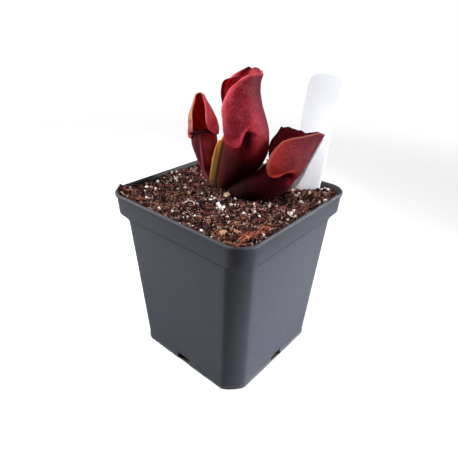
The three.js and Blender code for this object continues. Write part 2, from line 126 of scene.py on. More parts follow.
def makePiece(name, points, faces, material=None, values=None):
    mesh = bpy.data.meshes.new(name)
    mesh.from_pydata([tuple(p) for p in np.asarray(points) * mm], [], faces)
    if material:
        mesh.materials.append(material)
    setValues(mesh, values or {})
    setSmooth(mesh)
    mesh.update()
    return addObject(name, mesh)


def recalculate(piece):  # faces out
    body = bmesh.new()
    body.from_mesh(piece.data)
    bmesh.ops.recalc_face_normals(body, faces=body.faces)
    body.to_mesh(piece.data)
    body.free()


def bake(piece, name):  # turns what the modifiers make into a plain mesh
    graph = bpy.context.evaluated_depsgraph_get()
    graph.update()
    made = piece.evaluated_get(graph)
    mesh = bpy.data.meshes.new_from_object(made, preserve_all_data_layers=True, depsgraph=graph)
    piece.modifiers.clear()
    piece.data = mesh
    piece.name = mesh.name = name


def finishPiece(piece, slot, *nodes):
    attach(piece, "root")
    if nodes:
        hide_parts(*nodes)
    return piece


def plug(value, node, key):  # a link or a plain value on one of a node's inputs
    if isinstance(value, bpy.types.NodeSocket):
        node.id_data.links.new(value, node.inputs[key])
    else:
        node.inputs[key].default_value = value


def put(tree, kind, sockets=None, **settings):  # a node with its settings, values and links
    node = tree.nodes.new(kind)
    for key, value in settings.items():
        setattr(node, key, value)
    for key, value in (sockets or {}).items():
        plug(value, node, key)
    return node


def math2(operation, a, b=0.0, clamp=False):  # reckons with two numbers, of which at least one is a socket
    tree = (a if isinstance(a, bpy.types.NodeSocket) else b).id_data
    return put(tree, "ShaderNodeMath", {0: a, 1: b}, operation=operation, use_clamp=clamp).outputs[0]


def times(a, b):
    return math2("MULTIPLY", a, b)


def plus(a, b):
    return math2("ADD", a, b)


def vectorMath(operation, sockets, output=0):  # the first of its sockets gives the tree
    return put(sockets[0].id_data, "ShaderNodeVectorMath", sockets, operation=operation).outputs[output]


def ramp(value, low, high, toLow=0.0, toHigh=1.0):
    sockets = {"Value": value, "From Min": low, "From Max": high, "To Min": toLow, "To Max": toHigh}
    return put(value.id_data, "ShaderNodeMapRange", sockets, interpolation_type="SMOOTHSTEP").outputs[0]


def fall(value, low, high):
    return ramp(value, low, high, 1.0, 0.0)


def mix(share, a, b):
    return put(share.id_data, "ShaderNodeMix", {0: share, 6: a, 7: b}, data_type="RGBA").outputs[2]


def reading(where, name):  # numbers set at the mesh's points
    return put(where.id_data, "ShaderNodeAttribute", attribute_name=name).outputs["Fac"]


def noiseAt(vector, scale, detail=3.0, roughness=0.55, distortion=0.0):
    sockets = {"Vector": vector, "Scale": scale, "Detail": detail}
    sockets.update({"Roughness": roughness, "Distortion": distortion})
    return put(vector.id_data, "ShaderNodeTexNoise", sockets).outputs[0]


def toEdge(vector, scale):  # how far it is to the edge of a cell
    sockets = {"Vector": vector, "Scale": scale}
    return put(vector.id_data, "ShaderNodeTexVoronoi", sockets, feature="DISTANCE_TO_EDGE").outputs[0]


def stretched(where, share):  # makes patterns longer upwards
    return put(where.id_data, "ShaderNodeMapping", {"Vector": where, "Scale": (1.0, 1.0, share)}).outputs[0]


def addSocket(group, title, side, kind):
    return group.interface.new_socket(name=title, in_out=side, socket_type="NodeSocket" + kind)


def newGroup(name, kind, inputs, outputs):  # a node tree; an input is a first value or a kind of socket
    group = bpy.data.node_groups.new(name, kind + "NodeTree")
    for title, start in inputs.items():
        named = isinstance(start, str)
        socketKind = start if named else {float: "Float", int: "Int", tuple: "Color"}[type(start)]
        socket = addSocket(group, title, "INPUT", socketKind)
        if not named:
            socket.default_value = start
    for title, socketKind in outputs.items():
        addSocket(group, title, "OUTPUT", socketKind)
    return group, group.nodes.new("NodeGroupInput").outputs, group.nodes.new("NodeGroupOutput")


def newMaterial(name, **plain):  # plain numbers go on its Principled shader's own sockets
    material = bpy.data.materials.new(name)
    material.use_nodes = True
    tree = material.node_tree
    shader = tree.nodes["Principled BSDF"]
    for key, value in plain.items():
        shader.inputs[key.replace("_", " ")].default_value = value
    return material, shader, put(tree, "ShaderNodeTexCoord").outputs["Object"]


def addBump(shader, height, strength, distance):
    sockets = {"Height": height, "Strength": strength, "Distance": distance * mm}
    plug(put(shader.id_data, "ShaderNodeBump", sockets).outputs[0], shader, "Normal")


def grainGroup():  # fine even grain with a few broader waves, as a height and a mask
    group, given, end = newGroup(
        "grain", "Shader", {"Vector": "Vector", "Fine": 3000.0, "Broad": 300.0, "Share": 0.5},
        {"Height": "Float", "Mask": "Float"},
    )
    fine, broad = (noiseAt(given["Vector"], given[key], 4.0, 0.6) for key in ("Fine", "Broad"))
    plug(plus(times(fine, given["Share"]), broad), end, "Height")
    plug(ramp(broad, 0.42, 0.66), end, "Mask")
    return group


def dustGroup():  # pale patches and specks laid over a colour
    colours = {"Colour": (0.1, 0.1, 0.1, 1), "Dust": (0.5, 0.48, 0.45, 1)}
    group, given, end = newGroup(
        "dust", "Shader", {"Vector": "Vector", **colours, "Patches": 90.0, "Amount": 0.3, "Specks": 0.5},
        {"Colour": "Color", "Mask": "Float"},
    )
    vector = given["Vector"]
    soft = times(ramp(noiseAt(vector, given["Patches"], 6.0, 0.7, 0.6), 0.5, 0.8), given["Amount"])
    cells = put(group, "ShaderNodeTexVoronoi", {"Vector": vector, "Scale": 420.0, "Randomness": 1.0})
    size = times(noiseAt(vector, 160.0, 2.0), 0.16)
    dots = math2("LESS_THAN", cells.outputs["Distance"], math2("SUBTRACT", size, 0.075))
    mask = math2("MAXIMUM", soft, times(dots, given["Specks"]), clamp=True)
    plug(mix(mask, given["Colour"], given["Dust"]), end, "Colour")
    plug(mask, end, "Mask")
    return group


grain = grainGroup()
dust = dustGroup()


def grainAt(where, fine, broad, share):  # the grain's height and mask
    sockets = {"Vector": where, "Fine": fine, "Broad": broad, "Share": share}
    return put(where.id_data, "ShaderNodeGroup", sockets, node_tree=grain).outputs


# the camera stands where it sees the pot's near corner; the light is a soft white tent
view = {
    "place": (128.114, -153.258, 180.744),
    "right": (0.75669, 0.65327, 0.02564),
    "up": (-0.33005, 0.34786, 0.87753),
    "back": (0.56434, -0.67248, 0.47883),
    "sensor": 36, "focal": 414.70 / 458 * 36, "clip": (0.01, 20),
}
studio = {
    "floor": 700, "floorTint": (0.93, 0.93, 0.94, 1), "floorBounce": (0.2, 0.2, 0.2, 1), "fade": (0.2, 0.6),
    "underPot": (0.03, 0.03, 0.03, 1), "underSide": (0.0362, 0.0374), "underCorner": (0.05, 0.056),
    "sky": (1.0, 1.0, 1.0, 1), "skySeen": 1.0, "skyBright": 0.5, "skyDim": 0.0,
    "dimSide": (0.64, -0.77, 0.0), "dimSpan": (-0.1, 0.8),
    "lamps": {  # name: place, aim, size, watts, spread in degrees
        "overhead": ((-110, -150, 540), (0, 0, 100), 420, 2.6, 180),
        "left": ((-470, -320, 240), (0, 0, 80), 300, 5.5, 180),
        "right": ((440, 320, 220), (0, 0, 110), 260, 0.25, 180),
        "rightLow": ((430, 270, 130), (40, 0, 15), 220, 0.55, 34),
        "labelFront": ((250, -320, 420), (33, 41, 116), 30, 0.0111, 11),
    },
}


def makeCamera():
    camera = bpy.data.cameras.new("camera")
    camera.sensor_width, camera.lens = view["sensor"], view["focal"]
    camera.clip_start, camera.clip_end = view["clip"]
    axes = [view["right"], view["up"], view["back"]]
    rows = [[axes[k][r] for k in range(3)] + [view["place"][r] * mm] for r in range(3)]
    scene.camera = addObject("camera", camera)
    scene.camera.matrix_world = Matrix([*rows, [0, 0, 0, 1]])


def makeFloor():
    material, shader, spot = newMaterial("studioFloor", Roughness=0.9)
    tree = spot.id_data
    flat = vectorMath("ABSOLUTE", {0: spot})
    x, y, _ = put(tree, "ShaderNodeSeparateXYZ", {0: flat}).outputs
    # deep shade under the pot, seen in its drain notches
    side = fall(math2("MAXIMUM", x, y), *studio["underSide"])
    under = times(side, fall(plus(x, y), *studio["underCorner"]))
    plug(mix(under, studio["floorTint"], studio["underPot"]), shader, "Base Color")
    # the floor fades into the white far from the pot
    far = vectorMath("LENGTH", {0: spot}, "Value")
    plug(fall(far, *studio["fade"]), shader, "Alpha")
    # the floor throws little light back up
    dim = put(tree, "ShaderNodeBsdfDiffuse", {"Color": studio["floorBounce"]})
    seen = put(tree, "ShaderNodeLightPath").outputs["Is Camera Ray"]
    both = put(tree, "ShaderNodeMixShader", {0: seen, 1: dim.outputs[0], 2: shader.outputs[0]})
    plug(both.outputs[0], tree.nodes["Material Output"], "Surface")
    half = studio["floor"]
    corners = [(-half, -half, 0), (half, -half, 0), (half, half, 0), (-half, half, 0)]
    makePiece("floor", corners, [(0, 1, 2, 3)], material)


def makeLamps():
    for name, (spot, aim, size, watts, spread) in studio["lamps"].items():
        lamp = bpy.data.lights.new(name, "AREA")
        lamp.shape = "DISK"
        lamp.size = size * mm
        lamp.energy = watts
        lamp.spread = math.radians(spread)
        holder = addObject(name, lamp)
        holder.location = Vector(spot) * mm
        holder.rotation_euler = (Vector(spot) - Vector(aim)).to_track_quat("Z", "Y").to_euler()


def makeSky():
    scene.world = bpy.data.worlds.new("world")
    scene.world.use_nodes = True
    tree = scene.world.node_tree
    tree.nodes.clear()
    seen = put(tree, "ShaderNodeLightPath").outputs["Is Camera Ray"]
    spot = put(tree, "ShaderNodeTexCoord").outputs["Generated"]
    side = vectorMath("DOT_PRODUCT", {0: spot, 1: studio["dimSide"]}, "Value")
    strengths = ramp(side, *studio["dimSpan"], studio["skyBright"], studio["skyDim"]), studio["skySeen"]
    lit, plain = (
        put(tree, "ShaderNodeBackground", {"Color": studio["sky"], "Strength": strength}).outputs[0]
        for strength in strengths
    )
    both = put(tree, "ShaderNodeMixShader", {0: seen, 1: lit, 2: plain})
    put(tree, "ShaderNodeOutputWorld", {"Surface": both.outputs[0]})
    scene.view_settings.view_transform = "Standard"


makeCamera()
makeFloor()
makeLamps()
makeSky()
print("camera and light are set")


pot = {
    "height": 95.4, "wall": 1.2, "floor": 1.6, "footHalf": 37.4, "shoulderHalf": 41.6, "shoulderZ": 81.2,
    "collarHalf": 44.2, "collarZ": 84.5, "lipRootHalf": 44.5, "lipHalf": 45, "lipZ": 93.1,
    # the foot's curve goes out and up, the lip's goes in and down
    "footCurve": ((-0.9, 0), (-0.35, 0.35), (0.05, 1.0), (0.05, 2.1), (-0.25, 2.6)),
    "lipCurve": ((0, 1.2), (0.08, 0.5), (0.35, 0.1), (0.65, 0), (1.0, 0.12), (1.3, 0.6)),
    "lipUnder": (0.1, 0.45), "lipInside": (1.45, 1.2), "wallHeights": (7, 30, 55),
    "cornerSteps": 14, "sideSteps": 22, "fillets": (0.7,) * 7 + (1.9, 0.5), "innerFillets": (0.7,) * 5,
    "notchWidth": 9, "notchHeight": 4.6, "notchDepth": 6.5,
    "bevel": 0.22, "bevelAngle": 50, "sharpAngle": 38,
}


def outline(half, reach, roundness, cornerSteps, sideSteps):  # a square with rounded corners
    handle = reach * (1 - roundness)
    t = np.linspace(0, 1, cornerSteps + 1)[:, None]
    places = (half, half - reach), (half, half - handle), (half - handle, half), (half - reach, half)
    a, b, c, d = (np.array(place) for place in places)
    corner = (1 - t) ** 3 * a + 3 * t * (1 - t) ** 2 * b + 3 * t * t * (1 - t) * c + t ** 3 * d
    s = np.linspace(0, 1, sideSteps + 1)[1:-1, None]
    side = lerp(corner[-1], np.array((-(half - reach), half)), s)
    quarter = np.concatenate([corner, side])
    turns = []
    for k in range(4):
        a = k * math.pi / 2
        turns.append(quarter @ np.array([[math.cos(a), math.sin(a)], [-math.sin(a), math.cos(a)]]))
    return np.concatenate(turns)


bodyShape = (9.6, 0.26)
collarShape = (9.6, 0.44)
lipShape = (9.6, 0.5)


def potRing(half, shape, z, finer=pot):
    flat = outline(half, *shape, finer["cornerSteps"], finer["sideSteps"])
    return np.column_stack([flat, np.full(len(flat), z)])


def softened(stations, fillets, steps):  # rounds the corners of a profile of (half, shape, z) stations
    rounded = [stations[0]]
    for before, here, after, fillet in zip(stations, stations[1:], stations[2:], fillets):
        point = np.array([here[0], *here[1], here[2]], float)
        sides = []
        for other in (before, after):
            end = np.array([other[0], *other[1], other[2]], float)
            length = math.hypot(end[0] - point[0], end[3] - point[3])
            sides.append(lerp(point, end, min(fillet / length, 0.45)))
        for k in range(steps + 1):
            t = k / steps
            q = (1 - t) ** 2 * sides[0] + 2 * t * (1 - t) * point + t * t * sides[1]
            rounded.append((q[0], (q[1], q[2]), q[3]))
    rounded.append(stations[-1])
    return rounded


def join(points, faces, made, joined):  # adds a shape to points and faces
    first = len(points)
    points.extend(made)
    faces.extend(tuple(i + first for i in f) for f in joined)


def loft(rings):  # closed surface through rings, with a fan at both ends
    count = len(rings[0])
    points = list(np.concatenate(rings))
    faces = []
    for r in range(len(rings) - 1):
        for i in range(count):
            a, b = r * count + i, r * count + (i + 1) % count
            faces.append((a, b, b + count, a + count))
    for ring, flip in ((rings[0], True), (rings[-1], False)):
        points.append(ring.mean(0))
        middle = len(points) - 1
        base = 0 if flip else (len(rings) - 1) * count
        for i in range(count):
            j = (i + 1) % count
            faces.append((middle, base + j, base + i) if flip else (middle, base + i, base + j))
    return points, faces


def cutNotches(piece):  # the drain notches in the middle of each bottom edge
    width, height, depth = pot["notchWidth"], pot["notchHeight"], pot["notchDepth"]
    body = bmesh.new()
    for k in range(4):
        made = bmesh.ops.create_cube(body, size=1)["verts"]
        bmesh.ops.scale(body, verts=made, vec=Vector((width, depth * 2, height * 2)) * mm)
        bmesh.ops.translate(body, verts=made, vec=Vector((0, pot["footHalf"] + 0.1, 0)) * mm)
        turn = [[0, -1, 0], [1, 0, 0], [0, 0, 1]]
        for _ in range(k):
            for v in made:
                v.co = Vector([sum(turn[r][c] * v.co[c] for c in range(3)) for r in range(3)])
    mesh = bpy.data.meshes.new("notches")
    body.to_mesh(mesh)
    body.free()
    cutter = addObject("notches", mesh)
    cut = piece.modifiers.new("notches", "BOOLEAN")
    cut.object = cutter
    cut.operation = "DIFFERENCE"
    cut.solver = "EXACT"
    edges = piece.modifiers.new("edges", "BEVEL")
    edges.width = pot["bevel"] * mm
    edges.segments = 2
    edges.limit_method = "ANGLE"
    edges.angle_limit = math.radians(pot["bevelAngle"])
    bake(piece, piece.name)
    bpy.data.objects.remove(cutter)


def potMaterial():
    look = {
        "plastic": colour(54, 57, 66), "worn": colour(60, 65, 77), "collar": colour(40, 42, 52),
        "dusty": colour(104, 100, 88), "inside": colour(22, 21, 22), "insideShadeShare": 0.85, "collarShadeShare": 0.9,
        "collarSpan": (0.079, 0.094), "dustSpan": (0, 0.055), "lipSpan": (0.0925, 0.0955), "roughness": 0.42,
    }
    material, shader, where = newMaterial("greyPotPlastic", IOR=1.5, Coat_Roughness=0.3)
    tree = where.id_data
    relief, mask = grainAt(where, 5200.0, 700.0, 0.8)
    streaks = noiseAt(stretched(where, 0.25), 140.0, 5.0, 0.6, 0.4)
    base = mix(ramp(streaks, 0.45, 0.8, 0.0, 0.35), look["plastic"], look["worn"])
    height = put(tree, "ShaderNodeSeparateXYZ", {0: where}).outputs["Z"]
    # painted shade: the collar band near the top is darker than the body below it
    base = mix(ramp(height, *look["collarSpan"], 0.0, look["collarShadeShare"]), base, look["collar"])
    low = fall(height, *look["dustSpan"])
    high = ramp(height, *look["lipSpan"])
    amount = plus(plus(times(low, 0.22), times(high, 0.3)), 0.06)
    sockets = {"Vector": where, "Colour": base, "Dust": look["dusty"]}
    sockets.update({"Patches": 75.0, "Amount": amount, "Specks": 0.45})
    dusty = put(tree, "ShaderNodeGroup", sockets, node_tree=dust)
    # a few fine scratches, long in one direction
    sockets = {"Vector": where, "Rotation": (0.3, 0.5, 0.2), "Scale": (1, 1, 14)}
    thin = math2("LESS_THAN", toEdge(put(tree, "ShaderNodeMapping", sockets).outputs[0], 46.0), 0.006)
    rare = times(thin, ramp(noiseAt(where, 55.0, 2.0), 0.55, 0.7))
    scratched = mix(times(rare, 0.35), dusty.outputs["Colour"], look["worn"])
    # painted shade: the inner wall is darkened nearly to black
    within = times(reading(where, "inner"), look["insideShadeShare"])
    plug(mix(within, scratched, look["inside"]), shader, "Base Color")
    rough = plus(times(mask, 0.1), look["roughness"])
    rough = plus(rough, times(math2("MAXIMUM", within, high), 0.3))
    plug(plus(rough, times(dusty.outputs["Mask"], 0.3)), shader, "Roughness")
    addBump(shader, math2("SUBTRACT", relief, rare), 0.06, 0.08)
    return material


def makePot():
    foot, shoulder, collar, lip = (pot[k] for k in ("footHalf", "shoulderHalf", "collarHalf", "lipHalf"))
    shoulderZ, collarZ, lipZ = (pot[k] for k in ("shoulderZ", "collarZ", "lipZ"))
    height, wall = pot["height"], pot["wall"]
    heights = np.array(pot["wallHeights"])
    base = [(foot + x, z) for x, z in pot["footCurve"]]
    half, z = base[-1]
    body = lerp(half, shoulder, (heights - z) / (shoulderZ - z))
    outer = [
        *[(half, bodyShape, z) for half, z in [*base, *zip(body, heights), (shoulder, shoulderZ)]],
        (collar, collarShape, collarZ), (pot["lipRootHalf"], collarShape, lipZ),
    ]
    rounding = [(lip - x, lipShape, height - z) for x, z in pot["lipCurve"]]
    rounding.insert(0, (lip - pot["lipUnder"][0], lipShape, lipZ + pot["lipUnder"][1]))
    inner = [
        (lip - pot["lipInside"][0], collarShape, height - pot["lipInside"][1]),
        (collar - wall, collarShape, collarZ + wall / 2),
        (shoulder - wall, bodyShape, shoulderZ + wall / 2),
        *[(half - wall, bodyShape, z) for half, z in zip(body, heights)][::-1],
        (foot - wall, bodyShape, pot["floor"]),
    ]
    stations = softened(outer, pot["fillets"], 4) + rounding + softened(inner, pot["innerFillets"], 3)
    points, faces = loft([potRing(*s) for s in stations])
    piece = makePiece("potShell", points, faces, potMaterial())
    cutNotches(piece)
    mesh = piece.data
    setSmooth(mesh)
    mesh.set_sharp_from_angle(angle=math.radians(pot["sharpAngle"]))
    # how far each point faces inwards, read by the material to paint shade on the inner wall
    spots, normals = (np.zeros(3 * len(mesh.vertices)) for _ in range(2))
    mesh.vertices.foreach_get("co", spots)
    mesh.vertices.foreach_get("normal", normals)
    outward = unit(spots.reshape(-1, 3)[:, :2] + 1e-7)
    inward = -(normals.reshape(-1, 3)[:, :2] * outward).sum(1)
    setValues(mesh, {"inner": smooth(inward, 0.15, 0.7)})
    return finishPiece(piece, "pot_plastic", "pot")


makePot()
print("pot is made")


plant = {"x": -4.4, "y": 1.9, "turn": 40.75, "size": 0.988}
soilLevel = 92.1
leafSteps = {"hoodSide": 34, "frontSide": 16, "tube": 52, "hood": 54, "lip": 8, "foot": 5}
# spacing brings the columns closer near the axils; waves and frills are along the hood and across it
leafShape = {
    "spacing": 1.6, "foot": 0.6, "footWall": 1.2, "lipTurn": 130, "lipLeast": 0.04, "waves": (15, 9),
    "frills": (21, 37), "nearFrill": 0.15,
}
leafWall = {"thick": 0.75, "thin": 0.46, "lumps": 0.22, "lumpSize": 6, "ripples": 0.07, "rippleSize": 2.2}
# how far each column of the wing is from the front line, and how much of the wing's height it gets
wingShape = [
    (0, 1), (0.2, 0.99), (0.38, 0.955), (0.5, 0.88), (0.58, 0.75), (0.64, 0.6), (0.7, 0.45), (0.77, 0.3),
    (0.86, 0.17), (1.0, 0.08), (1.25, 0.03), (1.7, 0),
]
pitchers = {
    "pitcherTall": {
        "node": "pitcher_tall", "seed": 3,
        "spine": [(-1.4, 0.3, 0.6), (-1, 0.1, 5), (2.2, 0, 11), (6.2, 0, 17.6), (9.1, 0, 24.4), (9.6, 0, 31)],
        "radii": [2.4, 4.4, 7.2, 10.2, 11.6, 11.2],
        "front": (-1, 0.08, 0), "wing": [3, 4.3, 4.9, 4.2, 2.5, 0.4], "axil": (86, 4.4),
        "lip": 0.5, "roll": 0.35,
        "back": [(-10.3, 4.5), (-8.2, 10.5), (-5.9, 16), (-4.2, 21.5), (-3.9, 26.5), (-4.3, 30.4)],
        "edge": [
            (12.9, 1.95, 5.64), (13.9, 2.51, 2.73), (14.4, 2.38, -0.66), (14.3, 4.98, -2.65),
            (13.4, 8.53, -1.39), (12.4, 11.05, 3.08), (11.2, 12.2, 9.57), (10, 13.11, 15.49),
            (8.9, 10.84, 22.62), (7.6, 5.52, 28.1),
        ],
        "farEdge": [
            (12.7, 1.34, 1.55), (13.4, 2.64, -1.74), (13.4, 4.59, -3.86), (12.9, 7.25, -4.01),
            (12.3, 9.82, -1.94), (11.6, 12.38, 3.83), (10.8, 14.36, 11.81), (10.2, 15.65, 18.52),
            (9.6, 14.68, 23.74), (8.6, 10.05, 25.58),
        ],
        "tuck": 16, "fall": 3.6, "beak": 0, "ruffle": 0.4, "frill": 0.3,
        "nearCrest": [-0.3, -0.1, 0.3, 0.4, 0.3, 0],
        "farCrest": [-0.3, 0.2, 0.65, 0.95, 1.1, 1.3, 1.5, 1.5, 0.9, -0.6, 0],
        "hollow": (0.96, -0.5, 1.5, 2.0, 2.3),
    },
    "pitcherLeft": {
        "node": "pitcher_left", "seed": 5,
        "spine": [(-5.8, 3.8, 1.4), (-8.9, 6.4, 4.9), (-11.3, 9, 9.6), (-11.9, 10.6, 15.6), (-12.4, 11.4, 22),
                  (-13.1, 11.6, 28)],
        "radii": [1.7, 2, 3, 5, 6.8, 7],
        "front": (-0.2, -1, 0), "wing": [0.6, 1.4, 1.8, 1.6, 1, 0.3], "axil": (90, 0),
        "lip": 2.2, "roll": 1.0,
        "back": [(-7.6, 4.5), (-7.2, 9), (-5.6, 13.5), (-3.9, 17.5), (-2.8, 20.8)],
        "edge": [
            (8.55, 0.7, 1.84), (8.78, 2.4, 0.53), (7.43, 4.8, 1.1), (5.59, 6.6, 3.71), (4.6, 6.6, 6.69),
            (4, 5.2, 10.1), (3.8, 3.4, 13.49), (3.4, 1.4, 16.8), (2.8, -0.4, 19.6),
        ],
        "farEdge": [
            (8.64, 0.7, 1.29), (8.03, 2.4, -0.25), (5.92, 4.8, -0.64), (3.92, 6.6, 2.18), (3.8, 6.6, 5.7),
            (3.8, 5.2, 9.21), (3.7, 3.4, 12.64), (3.2, 1.4, 16.1), (2.5, -0.4, 19.5),
        ],
        "tuck": 12, "fall": 1.7, "beak": 0, "ruffle": 0.25, "frill": 0.1,
        "nearCrest": [0, 0, 0], "farCrest": [0, 0, 0], "hollow": (1, 0, 0, 1, 1),
    },
    "pitcherRight": {
        "node": "pitcher_right", "seed": 8,
        "spine": [(3.4, -3.6, 1.8), (9.2, -7, 4.4), (15, -7.6, 6.2), (20.2, -7.2, 7.9), (24.5, -6.4, 10.6),
                  (27.2, -5.6, 14.1)],
        "radii": [2.9, 5, 6.6, 7.9, 8.7, 8.7],
        "front": (-0.9, 0.08, 0.45), "wing": [0.4, 0.8, 0.8, 0.8, 0.6, 0.2], "axil": (86, 1.2),
        "lip": 0, "roll": 0.4,
        "back": [(-8.9, 5), (-8.3, 10.5), (-7.6, 16), (-6.8, 21.6), (-6, 27)],
        "edge": [
            (10.4, -0.31, 1.31), (10.9, 1.07, -1.36), (10.8, 3.38, -3.69), (10.4, 6.09, -4.16),
            (9.9, 8.84, -1.68), (9.3, 10.32, 1.97), (8.6, 10.86, 6.78), (7.8, 9.94, 12.42),
        ],
        "farEdge": [
            (10.3, -0.3, 1.65), (10.6, 1.79, 0.01), (10.5, 4.81, -0.12), (10.2, 7.53, 1.73),
            (9.8, 10.49, 5.15), (9.4, 12.22, 9.73), (8.9, 12.29, 14.68), (8.4, 12.71, 18.2),
        ],
        "tuck": 9, "fall": 1.5, "beak": 1, "ruffle": 0.4, "frill": 0.25,
        "nearCrest": [0.9, 0.9, -0.2, -0.5, 0, 0], "farCrest": [0.9, 0.2, -1.6, -1, -0.4, 0],
        "hollow": (0.9, -0.5, 1.2, 3, 1),
    },
}


def onPlant(points):  # from the plant's own frame to the pot's
    turn = math.radians(plant["turn"])
    c, s = math.cos(turn) * plant["size"], math.sin(turn) * plant["size"]
    points = np.asarray(points, float)
    x = c * points[:, 0] - s * points[:, 1] + plant["x"]
    y = s * points[:, 0] + c * points[:, 1] + plant["y"]
    return np.column_stack([x, y, plant["size"] * points[:, 2] + soilLevel])


def leafFrame(leaf, t):  # middle of the tube, its axis, the way to its front and the way to its side
    before = along(leaf["spine"], max(t - 0.02, 0))
    axis = unit(along(leaf["spine"], min(t + 0.02, 1)) - before)
    front = unit(leaf["front"])
    ahead = unit(front - axis * front.dot(axis))
    return along(leaf["spine"], t), axis, ahead, np.cross(ahead, axis)


def leafAngles(leaf, radius):  # angle of each column from the back, and its share of the wing
    hoodSide, frontSide = leafSteps["hoodSide"], leafSteps["frontSide"]
    axil = math.radians(leaf["axil"][0])
    offsets, shares = np.array(wingShape).T
    a = np.arange(hoodSide + 1) / hoodSide
    behind = axil * (1 - (1 - a) ** leafShape["spacing"])
    foot = math.pi - offsets[-1] / radius
    sides = axil + (foot - axil) * np.arange(1, frontSide) / frontSide
    wing = math.pi - offsets[::-1] / radius
    half = np.concatenate([behind, sides, wing])
    share = np.concatenate([np.zeros(hoodSide + frontSide), shares[::-1]])
    return np.concatenate([-half[:0:-1], half[:-1]]), np.concatenate([share[:0:-1], share[:-1]])


def rimHeight(leaf, angle):
    axil, up = math.radians(leaf["axil"][0]), leaf["axil"][1]
    a = np.abs(angle)
    behind = up * np.minimum(a / axil, 1) ** leafShape["spacing"]
    return np.where(a <= axil, behind, lerp(up, leaf["lip"], smooth(a, axil, math.pi)))


class LeafSheet:  # the single sheet of a leaf, row by row
    def __init__(self):
        self.points, self.outward, self.push, self.marks, self.faces, self.count = [], [], [], [], [], 0

    def add(self, frame, angle, side, forward, up, wing=0.0, rise=0.0, edge=0.0, share=0.0, turn=None):
        middle, axis, ahead, sideways = frame
        size = len(side)
        self.points.append(middle + np.outer(side, sideways) + np.outer(forward, ahead) + np.outer(up, axis))
        self.outward.append(np.outer(np.sin(angle), sideways) - np.outer(np.cos(angle), ahead))
        self.push.append(np.outer(wing * np.ones(size), ahead))
        turn = angle / math.pi if turn is None else turn
        marks = [rise * np.ones(size), turn, edge * np.ones(size), share * np.ones(size)]
        self.marks.append(np.column_stack(marks))
        self.count += size
        return list(range(self.count - size, self.count))

    @staticmethod
    def round(radius, angle):  # places to the side and forward on a circle
        return radius * np.sin(angle), -radius * np.cos(angle)

    def knit(self, lower, upper):
        for k in range(len(upper) - 1):
            corners = [lower[k], lower[k + 1], upper[k + 1], upper[k]]
            face = tuple(dict.fromkeys(corners))
            if len(face) > 2:
                self.faces.append(face)


